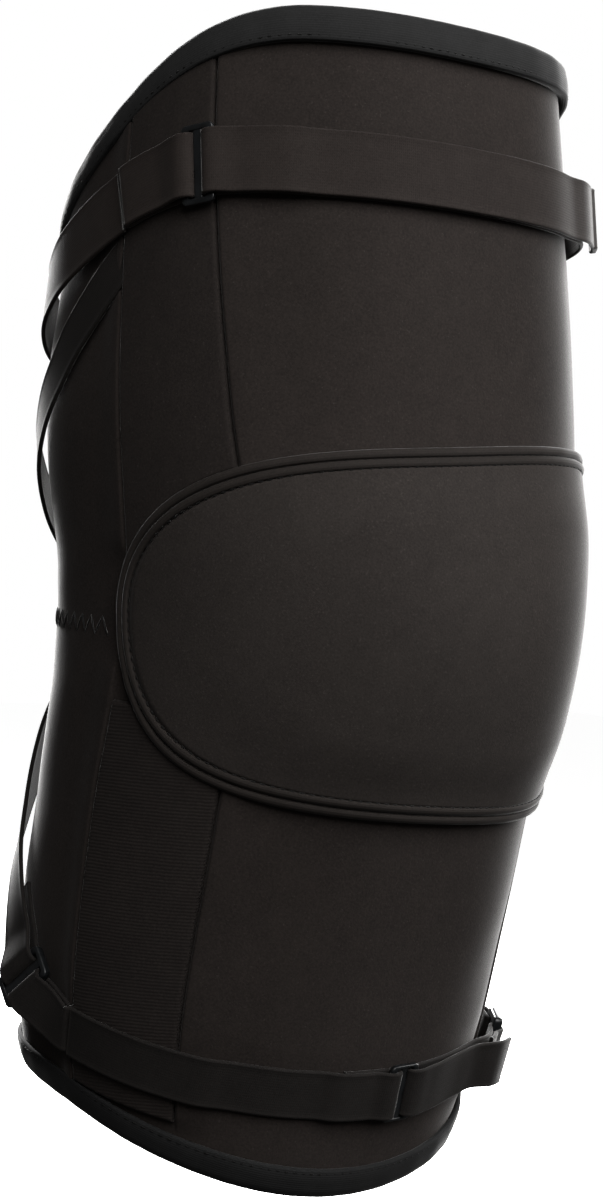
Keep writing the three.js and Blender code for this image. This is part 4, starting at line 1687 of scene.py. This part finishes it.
@dataclass(frozen=True)
class Webbing:
    """Flat woven webbing through a row of stations.

    Attributes:
        width: Width in millimetres.
        closed: Whether the row comes back to its start.
        hem: Length of the turned hem at the last end.
        hem_rise: Extra thickness of the hem.
    """

    width: float
    closed: bool = False
    hem: float = 0.0
    hem_rise: float = 0.75

    def build(self, name: str, stations: Stations) -> bpy.types.Object:
        """Makes the webbing.

        Args:
            name: The object's name.
            stations: Where it runs.

        Returns:
            The object.
        """
        row = resample(self._smooth(np.concatenate(stations, 1)), 0.8, self.closed)
        middle, across = row[:, :3], unit(row[:, 3:])
        if self.closed:
            tangent = unit(np.roll(middle, -1, 0) - np.roll(middle, 1, 0))
        else:
            tangent = unit(np.gradient(middle, axis=0))
        face = unit(np.cross(tangent, across))
        across = unit(np.cross(face, tangent))
        walked = lengths_along(np.concatenate([middle, middle[:1]]) if self.closed else middle)
        section = self._section()
        at = walked[: len(middle)]
        wave = 0.05 * np.sin(at / 5.7) + 0.04 * np.sin(at / 2.9 + 1)
        high = np.where(section[:, 1] > 0, 1.0, 0.0)
        depth = section[None, :, 1] + self._hem(at)[:, None] * high[None] + wave[:, None]
        points = middle[:, None] + across[:, None] * section[None, :, 0, None]
        points = points + face[:, None] * depth[..., None]
        round_it = lengths_along(np.concatenate([section, section[:1]]))
        maker = MeshMaker()
        start = maker.add(Patch(points, walked, round_it, wrap_u=self.closed, wrap_v=True))
        if not self.closed:
            count = len(section)
            maker.cap([start + i for i in range(count)][::-1])
            maker.cap([start + (len(points) - 1) * count + i for i in range(count)])
        return maker.build(name)

    def _smooth(self, row: Array) -> Array:
        """Rounds the row's small kinks without moving its ends.

        Args:
            row: Middles and directions across in one row.

        Returns:
            The same, at closer steps.
        """
        line = resample(row, 0.6, self.closed)
        for _ in range(4):
            if self.closed:
                line = (np.roll(line, 1, 0) + 2 * line + np.roll(line, -1, 0)) / 4
            else:
                line[1:-1] = (line[:-2] + 2 * line[1:-1] + line[2:]) / 4
        return line

    def _section(self) -> Array:
        """Draws the cross-section, with full selvedges.

        Returns:
            Sideways and outward distances.
        """
        half, thick = self.width / 2, WEB.thickness / 2
        turn = np.radians(np.linspace(90, -90, 7))
        edge = np.stack([half - thick + thick * np.cos(turn), (thick + 0.04) * np.sin(turn)], -1)
        flat = np.linspace(-half + thick * 1.5, half - thick * 1.5, 9)
        upper = np.stack([flat, np.full_like(flat, thick - 0.03)], -1)
        lower = np.stack([flat[::-1], np.full_like(flat, -thick + 0.03)], -1)
        far = edge[::-1] * np.array([-1, 1])
        return np.concatenate([upper, edge, lower, far])

    def _hem(self, walked: Array) -> Array:
        """Finds the extra thickness where the end is turned over and sewn.

        Args:
            walked: Distance walked along the webbing.

        Returns:
            Millimetres at each.
        """
        if not self.hem:
            return np.zeros_like(walked)
        start = walked[-1] - self.hem
        return self.hem_rise * ease(walked, start - 0.3, start + 0.9)


@dataclass(frozen=True)
class SlideBuckle:
    """Moulded ring with two bars and a thin middle bar between them."""

    width: float
    end: float
    thickness: float = WEB.bar_thickness
    outer_corner: float = 1.3
    inner_corner: float = 0.5
    squareness: float = 0.45
    middle_bar: float = 2.2

    def build(self, name: str, seat: Seat) -> bpy.types.Object:
        """Makes the ring at its seat.

        Args:
            name: The object's name.
            seat: Where it sits.

        Returns:
            The object.
        """
        opening = self.width / 2 + WEB.side_room
        outer = self._loop((WEB.bar_spacing + WEB.bar_width) / 2, opening + self.end, self.outer_corner)
        inner = self._loop((WEB.bar_spacing - WEB.bar_width) / 2, opening, self.inner_corner)
        turn = np.linspace(0, 2 * np.pi, 17)[:-1]
        x = np.sign(np.cos(turn)) * np.abs(np.cos(turn)) ** self.squareness
        z = np.sign(np.sin(turn)) * np.abs(np.sin(turn)) ** self.squareness * self.thickness / 2
        frames = seat.frames
        upward = z[None, :, None] * frames.out
        middle, half = (outer + inner) / 2, (outer - inner) / 2
        flat = middle[:, None] + half[:, None] * x[None, :, None]
        ring = seat.middle + flat[..., :1] * frames.run + flat[..., 1:] * frames.across + upward
        maker = MeshMaker()
        girth = np.linspace(0, 6, len(turn) + 1)
        maker.add(Patch(ring, np.linspace(0, 50, len(outer) + 1), girth, wrap_u=True, wrap_v=True))
        reach = np.linspace(-1, 1, 9) * (opening + self.end / 2)
        bar = np.stack([self.middle_bar / 2 * x + 0 * reach[:, None], reach[:, None] + 0 * x], -1)
        rod = seat.middle + bar[..., :1] * frames.run + bar[..., 1:] * frames.across + 0.6 * upward
        maker.add(Patch(rod, reach, girth, wrap_v=True))
        return maker.build(name, outward=False)

    @staticmethod
    def _loop(x: float, y: float, radius: float) -> Array:
        """Draws a rectangle with rounded corners.

        Args:
            x: Half its length.
            y: Half its width.
            radius: Radius of its corners.

        Returns:
            Its points.
        """
        points = []
        corners = ((1, -1, -90), (1, 1, 0), (-1, 1, 90), (-1, -1, 180))
        for sx, sy, begin in corners:
            turn = np.radians(begin + np.linspace(0, 90, 9))
            centre = np.array([sx * (x - radius), sy * (y - radius)])
            points.append(centre + radius * np.stack([np.cos(turn), np.sin(turn)], -1))
        return np.concatenate(points)


@dataclass(frozen=True)
class TopStrap:
    """The upper strap with its loop and buckle.

    Attributes:
        dresser: What dresses its pieces.
        course: Where it runs.
        start: Angle of its sewn end.
        seam: Angle of the loop's seam.
        buckle: Angle of the buckle.
        tail_end: Angle of the free end's hem.
        hem: Length of that hem.
        slack: How far the strap stands off at the right.
        slack_angle: Where it stands off most.
        slack_spread: How far round it does.
        spring: How far the free end springs away.
        spring_reach: Degrees over which it does.
    """

    dresser: Dresser
    course: Course = field(default_factory=top_course)
    start: float = -86.0
    seam: float = -84.5
    buckle: float = -62.5
    tail_end: float = 58.0
    hem: float = 7.0
    slack: float = 2.4
    slack_angle: float = 60.0
    slack_spread: float = 16.0
    spring: float = 4.6
    spring_reach: float = 26.0

    @property
    def seat(self) -> Seat:
        """Place of the buckle."""
        return Seat(self.course, self.buckle, WEB.over_pocket + WEB.wrap)

    def under(self, angle: Array) -> Array:
        """Lift of the layer that lies on the sleeve.

        Args:
            angle: Degrees from the front.

        Returns:
            Millimetres off the cloth.
        """
        loose = self.slack * np.exp(-(((wrap_angle(angle) - self.slack_angle) / self.slack_spread) ** 2))
        near = WEB.over_pocket * ease(wrap_angle(angle), -30, self.seat.bar_at(1))
        return np.maximum(rest_lift(angle) + loose, near)

    def over(self, angle: Array) -> Array:
        """Lift of the free end."""
        free = self.spring * ease(angle, self.tail_end - self.spring_reach, self.tail_end + self.spring_reach)
        return self.under(angle) + WEB.rise + free

    def build(self) -> None:
        """Makes the strap, the loop and the buckle."""
        dress = self.dresser.dress
        bar = self.seat.bar_at(1)
        stations = chain(
            layer(self.course, self.start, bar - 360 + 4, self.under),
            self.seat.round_bar(1, 1),
            layer(self.course, bar + 5, self.tail_end, self.over),
        )
        strap = Webbing(WEB.wide, hem=self.hem).build("top_strap_webbing", stations)
        dress(strap, WEBBING, "webbing", "top_strap")
        loop = loop_stations(self.course, self.seam, self.seat, -1, 1, lambda a: WEB.over_pocket + 0 * a)
        made = Webbing(WEB.wide, closed=True).build("top_loop_webbing", loop)
        dress(made, WEBBING, "webbing", "top_loop")
        ring = SlideBuckle(WEB.wide, WEB.wide_end).build("top_buckle_moulding", self.seat)
        dress(ring, self.dresser.plastic, "buckle_plastic", "top_buckle")


def rest_lift(angle: Array) -> Array:
    """Lift of webbing that lies on the sleeve or rises over a side pocket.

    Args:
        angle: Degrees from the front.

    Returns:
        Millimetres off the cloth.
    """
    away = np.abs(wrap_angle(angle))
    onto = ease(away, POCKET.elbow_front - 14, POCKET.elbow_front - 5)
    off = ease(away, POCKET.top_back + 3, POCKET.top_back + 12)
    return WEB.under + (WEB.over_pocket - WEB.under) * (onto - off)


def loop_stations(
    course: Course, seam: float, seat: Seat, side: int, toward: int, low_at: Callable[[Array], Array]
) -> Stations:
    """Leads a closed loop of webbing from its seam to a buckle's bar and back.

    Args:
        course: Where the loop runs.
        seam: Angle of its seam.
        seat: Where the buckle sits.
        side: Which bar, -1 or 1.
        toward: The way from the seam to the bar, -1 or 1.
        low_at: Lift of the lower layer at an angle.

    Returns:
        The stations.
    """
    bar = seat.bar_at(side)
    scale = float(seat.frames.scale)
    crease = bar - toward * (WEB.bar_width / 2 - 0.2 + 3.4 * WEB.bar_width) / scale
    lower = layer(course, seam, crease, low_at)
    upper = layer(course, crease, seam, lambda a: low_at(a) + WEB.rise)
    radius = WEB.rise / 2
    turned = seam - toward * radius / scale
    tip = layer(course, turned, turned + 1e-6, lambda a: low_at(a) + radius)
    return chain((tip[0][:1], tip[1][:1]), lower, seat.round_bar(side, -toward), upper)


@dataclass(frozen=True)
class BottomStrap:
    """The lower strap: a sewn part, a pull part, two buckles and the side loop.

    Attributes:
        dresser: What dresses its pieces.
        course: Where it runs.
        seam: Angle at which it is sewn on, on either side.
        front_buckle: Angle of the front buckle.
        side_buckle: Angle of the side buckle.
        tail_end: Angle of the free end.
        side_standoff: Lift of the side loop, which stands off the sleeve.
        tail_spring: How far the free end springs away.
        bar_stand: How far it stands up where it leaves the front buckle.
        side_end: Length of the side buckle's end blocks.
        side_thickness: Their thickness.
    """

    dresser: Dresser
    course: Course = field(default_factory=bottom_course)
    seam: float = 82.5
    front_buckle: float = 8.2
    side_buckle: float = 62.0
    tail_end: float = 51.0
    side_standoff: float = 3.8
    tail_spring: float = 3.4
    bar_stand: float = 1.1
    side_end: float = 1.9
    side_thickness: float = 2.4

    @property
    def front(self) -> Seat:
        """Place of the front buckle."""
        return Seat(self.course, self.front_buckle, WEB.under + WEB.wrap)

    @property
    def side(self) -> Seat:
        """Place of the side buckle."""
        return Seat(self.course, self.side_buckle, self.side_standoff + WEB.wrap)

    @property
    def side_return(self) -> float:
        """Angle at which the pull part, turned round the side buckle, is sewn to itself."""
        return self.side.bar_at(-1) - WEB.return_length

    def pull_under(self, angle: Array) -> Array:
        """Lift of the pull part's inner layer."""
        extra = (self.side_standoff - WEB.over_pocket) * ease(angle, 28, self.side.bar_at(-1) - 2)
        return rest_lift(angle) + extra

    def pull_over(self, angle: Array) -> Array:
        """Lift of the pull part's free end.

        Args:
            angle: Degrees from the front.

        Returns:
            Millimetres off the cloth.
        """
        layers = WEB.rise * (1 + ease(angle, self.side_return - 7, self.side_return - 1))
        free = self.tail_spring * ease(angle, self.tail_end - 24, self.tail_end + 16)
        free = free + self.bar_stand * (1 - ease(angle, self.front.bar_at(1) + 2, self.front.bar_at(1) + 18))
        return self.pull_under(angle) + layers + free

    def build(self) -> None:
        """Makes both parts, the loop and the buckles."""
        dress = self.dresser.dress
        sewn_bar = self.front.bar_at(-1)
        sewn_return = sewn_bar - WEB.return_length
        sewn = chain(
            layer(self.course, -self.seam, sewn_bar - 4.5,
                  lambda a: rest_lift(a) + WEB.rise * ease(a, sewn_return - 6, sewn_return - 1)),
            backward(self.front.round_bar(-1, -1)),
            layer(self.course, sewn_bar - 3, sewn_return, lambda a: WEB.under + 0 * a),
        )
        made = Webbing(WEB.middle).build("bottom_strap_webbing", sewn)
        dress(made, DARK_WEBBING, "webbing", "bottom_strap")
        side_bar, pull_bar = self.side.bar_at(-1), self.front.bar_at(1)
        pull = chain(
            layer(self.course, self.side_return, side_bar - 4.5, lambda a: self.pull_under(a) + WEB.rise),
            backward(self.side.round_bar(-1, -1)),
            layer(self.course, side_bar - 3, pull_bar + 3, self.pull_under),
            self.front.round_bar(1, 1),
            layer(self.course, pull_bar + 5, self.tail_end, self.pull_over),
        )
        made = Webbing(WEB.middle).build("bottom_pull_webbing", pull)
        dress(made, DARK_WEBBING, "webbing", "bottom_pull_strap")
        loop = loop_stations(self.course, self.seam, self.side, 1, -1, lambda a: self.side_standoff + 0 * a)
        made = Webbing(WEB.middle, closed=True).build("bottom_side_loop_webbing", loop)
        dress(made, DARK_WEBBING, "webbing", "bottom_side_loop")
        front = SlideBuckle(WEB.middle, WEB.narrow_end)
        side = SlideBuckle(WEB.middle, self.side_end, self.side_thickness)
        plastic = self.dresser.plastic
        dress(front.build("bottom_buckle_moulding", self.front), plastic, "buckle_plastic", "bottom_buckle")
        made = side.build("bottom_side_buckle_moulding", self.side)
        dress(made, plastic, "buckle_plastic", "bottom_side_buckle")


# Route of a crossing strap from its upper seam round the crook to its lower seam: turn from the
# front, share of the upper or lower length, lift off the cloth and tilt of the strap.
CROSS_TURN = (83, 89, 100, 112, 130, 155, 180, 205, 225, 245, 259, 265, 274)
CROSS_AT = (0.599, 0.555, 0.475, 0.38, 0.245, 0.08, -0.04, -0.2, -0.385, -0.56, -0.672, -0.7, -0.735)
CROSS_LIFT = (0.1, 1.1, 1.3, 1.6, 2.6, 5.8, 7.5, 5.4, 2.8, 3.0, 4.5, 3.9, 2.1)
CROSS_LEAN = (0, 0, 0, 0, 0, 0, 0, 0, 2, 9, 22, 18, 2)


@dataclass(frozen=True)
class CrossStrap:
    """One of the two straps that cross behind the crook, with its loop and buckle.

    Attributes:
        dresser: What dresses its pieces.
        name: The side on which it ends, as a word.
        side: The same side, -1 for the left and 1 for the right.
        buckle_turn: Turn at which the buckle sits.
        seam_turn: Turn of the loop's seam.
        return_reach: Degrees that the strap runs back under itself past the buckle's bar.
        ring_room: Extra width of the buckle's ring.
        ring_thickness: The ring's thickness.
    """

    dresser: Dresser
    name: str
    side: int
    buckle_turn: float = 259.0
    seam_turn: float = 276.3
    return_reach: float = 13.0
    ring_room: float = 0.6
    ring_thickness: float = 1.9

    @property
    def course(self) -> Course:
        """Reads the strap's route for this side.

        Returns:
            The course.
        """
        at, lean = SmoothTable(CROSS_TURN, CROSS_AT), SmoothTable(CROSS_TURN, CROSS_LEAN)

        def along(angle: Array) -> Array:
            """Reads how far along the arm the strap lies.

            Args:
                angle: Degrees from the front.

            Returns:
                Millimetres from the elbow, up the arm.
            """
            share = at(-self.side * np.asarray(angle))
            return np.where(share < 0, share * SLEEVE.lower_length, share * SLEEVE.upper_length)

        return Course(along, lambda a: -self.side * lean(-self.side * np.asarray(a)))

    @property
    def seat(self) -> Seat:
        """Place of the buckle."""
        angle = -self.side * self.buckle_turn
        return Seat(self.course, angle, float(self.lift_at(np.array(angle))))

    def lift_at(self, angle: Array) -> Array:
        """Finds the strap's lift. The left strap passes over the other one at the crossing.

        Args:
            angle: Degrees from the front, past 180 where the strap has turned behind the arm.

        Returns:
            Millimetres off the cloth.
        """
        turn = -self.side * np.asarray(angle)
        over = 2 * WEB.rise if self.side < 0 else 0.0
        return SmoothTable(CROSS_TURN, CROSS_LIFT)(turn) + over * np.exp(-(((turn - 180) / 28) ** 2))

    def loop_low(self, angle: Array) -> Array:
        """Lift of the loop's lower layer."""
        return self.lift_at(angle) - WEB.rise / 2

    def build(self) -> None:
        """Makes the strap, its loop and its buckle."""
        dress, side = self.dresser.dress, self.side
        strap, loop, buckle = (f"cross_{part}_{self.name}" for part in ("strap", "loop", "buckle"))
        far = self.seat.bar_at(side)
        stations = chain(
            layer(self.course, -side * CROSS_TURN[0], far + side * 5, self.lift_at),
            backward(self.seat.round_bar(side, side)),
            layer(self.course, far + side * 4, far + side * self.return_reach,
                  lambda a: self.lift_at(a) - WEB.rise - WEB.fold_gap),
        )
        dress(Webbing(WEB.narrow).build(strap + "_webbing", stations), DARK_WEBBING, "webbing", strap)
        seam = -side * self.seam_turn
        stations = loop_stations(self.course, seam, self.seat, -side, side, self.loop_low)
        made = Webbing(WEB.narrow, closed=True).build(loop + "_webbing", stations)
        dress(made, DARK_WEBBING, "webbing", loop)
        ring = SlideBuckle(WEB.narrow + self.ring_room, WEB.wide_end, self.ring_thickness)
        dress(ring.build(buckle + "_moulding", self.seat), self.dresser.plastic, "buckle_plastic", buckle)


# Studio


def outward_at(azimuth: float, elevation: float) -> Array:
    """Finds the direction from the brace towards a place round it.

    Args:
        azimuth: Degrees round the brace from -Y towards +X.
        elevation: Degrees above level.

    Returns:
        The direction, of length 1.
    """
    az, el = math.radians(azimuth), math.radians(elevation)
    return np.array([math.sin(az) * math.cos(el), -math.cos(az) * math.cos(el), math.sin(el)])


@dataclass(frozen=True)
class PhotoCamera:
    """The photograph's camera, found from the sleeve's outline."""

    azimuth: float = -37.565
    elevation: float = 2.0
    roll: float = -4.174
    pan: float = 0.138
    tilt: float = -0.282
    distance: float = 620
    focal_pixels: float = 2520.3
    frame_height: int = 1200
    sensor: float = 24

    def place(self) -> bpy.types.Object:
        """Makes the camera and gives it to the scene.

        Returns:
            The camera.
        """
        back = outward_at(self.azimuth, self.elevation)
        right = outward_at(self.azimuth + 90, 0)
        up = np.cross(back, right)
        rows = self._turn() @ np.stack([right, up, back])
        data = bpy.data.cameras.new("photo_camera")
        data.sensor_fit = "VERTICAL"
        data.sensor_height = self.sensor
        data.lens = self.focal_pixels / self.frame_height * self.sensor
        camera = bpy.data.objects.new("photo_camera", data)
        bpy.context.scene.collection.objects.link(camera)
        pose = np.eye(4)
        pose[:3, :3] = rows.T
        pose[:3, 3] = back * self.distance * MM
        camera.matrix_world = Matrix(pose.tolist())
        bpy.context.scene.camera = camera
        return camera

    def _turn(self) -> Array:
        """Small turns of the camera about its own axes.

        Returns:
            The rotation, as a matrix of three rows.
        """
        pan, tilt, roll = (math.radians(v) for v in (self.pan, self.tilt, self.roll))
        turns = (Matrix.Rotation(turn, 3, axis) for turn, axis in ((roll, "Z"), (tilt, "X"), (pan, "Y")))
        about_z, about_x, about_y = (np.array(turn) for turn in turns)
        return about_z @ about_x @ about_y


@dataclass(frozen=True)
class SoftBox:
    """An area light aimed at the brace, placed round it by compass and height."""

    name: str
    azimuth: float
    elevation: float
    distance: float
    size: float
    power: float

    def place(self) -> None:
        """Makes the light."""
        back = outward_at(self.azimuth, self.elevation)
        right = unit(np.cross([0.0, 0.0, 1.0], back))
        up = np.cross(back, right)
        data = bpy.data.lights.new(self.name, "AREA")
        data.shape = "SQUARE"
        data.size = self.size
        data.energy = self.power
        light = bpy.data.objects.new(self.name, data)
        bpy.context.scene.collection.objects.link(light)
        pose = np.eye(4)
        pose[:3, :3] = np.stack([right, up, back], 1)
        pose[:3, 3] = back * self.distance
        light.matrix_world = Matrix(pose.tolist())


SOFT_BOXES = (
    SoftBox("front", -22, 39, 1.1, 0.85, 10.9),
    SoftBox("right", 55, 24, 1.4, 0.8, 12.0),
    SoftBox("rim_right", 112, 10, 1.3, 0.7, 34.0),
    SoftBox("rim_left", 160, 24, 1.3, 0.5, 60.0),
)


@dataclass(frozen=True)
class Studio:
    """White surroundings, soft boxes and a pale floor, with its sizes in metres."""

    floor_drop: float = 0.30
    floor_half: float = 3.0
    ambient: float = 0.055

    def build(self) -> None:
        """Makes the lights, the surroundings and the floor."""
        for box in SOFT_BOXES:
            box.place()
        bpy.context.scene.world = self._surroundings()
        bpy.context.scene.view_settings.view_transform = "Standard"
        bpy.context.scene.view_settings.look = "None"
        half = self.floor_half / MM
        z = -self.floor_drop / MM
        spots = np.linspace(-half, half, 5)
        x, y = np.meshgrid(spots, spots, indexing="ij")
        maker = MeshMaker()
        maker.add(Patch(np.stack([x, y, np.full_like(x, z)], -1), spots, spots))
        floor = maker.build("studio_floor")
        floor.data.materials.append(pale_floor())
        floor.visible_diffuse = False
        floor.visible_glossy = False

    def _surroundings(self) -> bpy.types.World:
        """White backdrop that lights the brace only dimly, as a backdrop behind it does.

        Returns:
            The world.
        """
        world = bpy.data.worlds.new("white_studio")
        world.use_nodes = True
        tree = world.node_tree
        dim = tree.nodes["Background"]
        dim.inputs["Color"].default_value = (1, 1, 1, 1)
        dim.inputs["Strength"].default_value = self.ambient
        path = add_node(tree, "LightPath", {})
        seen = add_node(tree, "Background", {}, Color=(1, 1, 1, 1))
        blend = add_node(tree, "MixShader", {}, _0=(path, "Is Camera Ray"), _1=dim, _2=seen)
        tree.links.new(blend.outputs[0], tree.nodes["World Output"].inputs["Surface"])
        return world


def main() -> None:
    """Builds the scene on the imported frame."""
    logging.basicConfig(level=logging.INFO, format="%(name)s: %(message)s")
    PhotoCamera().place()
    Studio().build()
    dresser = Dresser()
    for part in (SleeveSkin(), TOP_BINDING, BOTTOM_BINDING, ElbowPad(), PadTape()):
        part.dress(dresser)
    for side in (-1, 1):
        for upper in (True, False):
            Pocket(side, upper).dress(dresser)
    Seams().dress(dresser)
    TopStrap(dresser).build()
    BottomStrap(dresser).build()
    CrossStrap(dresser, "left", -1).build()
    CrossStrap(dresser, "right", 1).build()


if __name__ == "__main__":
    main()
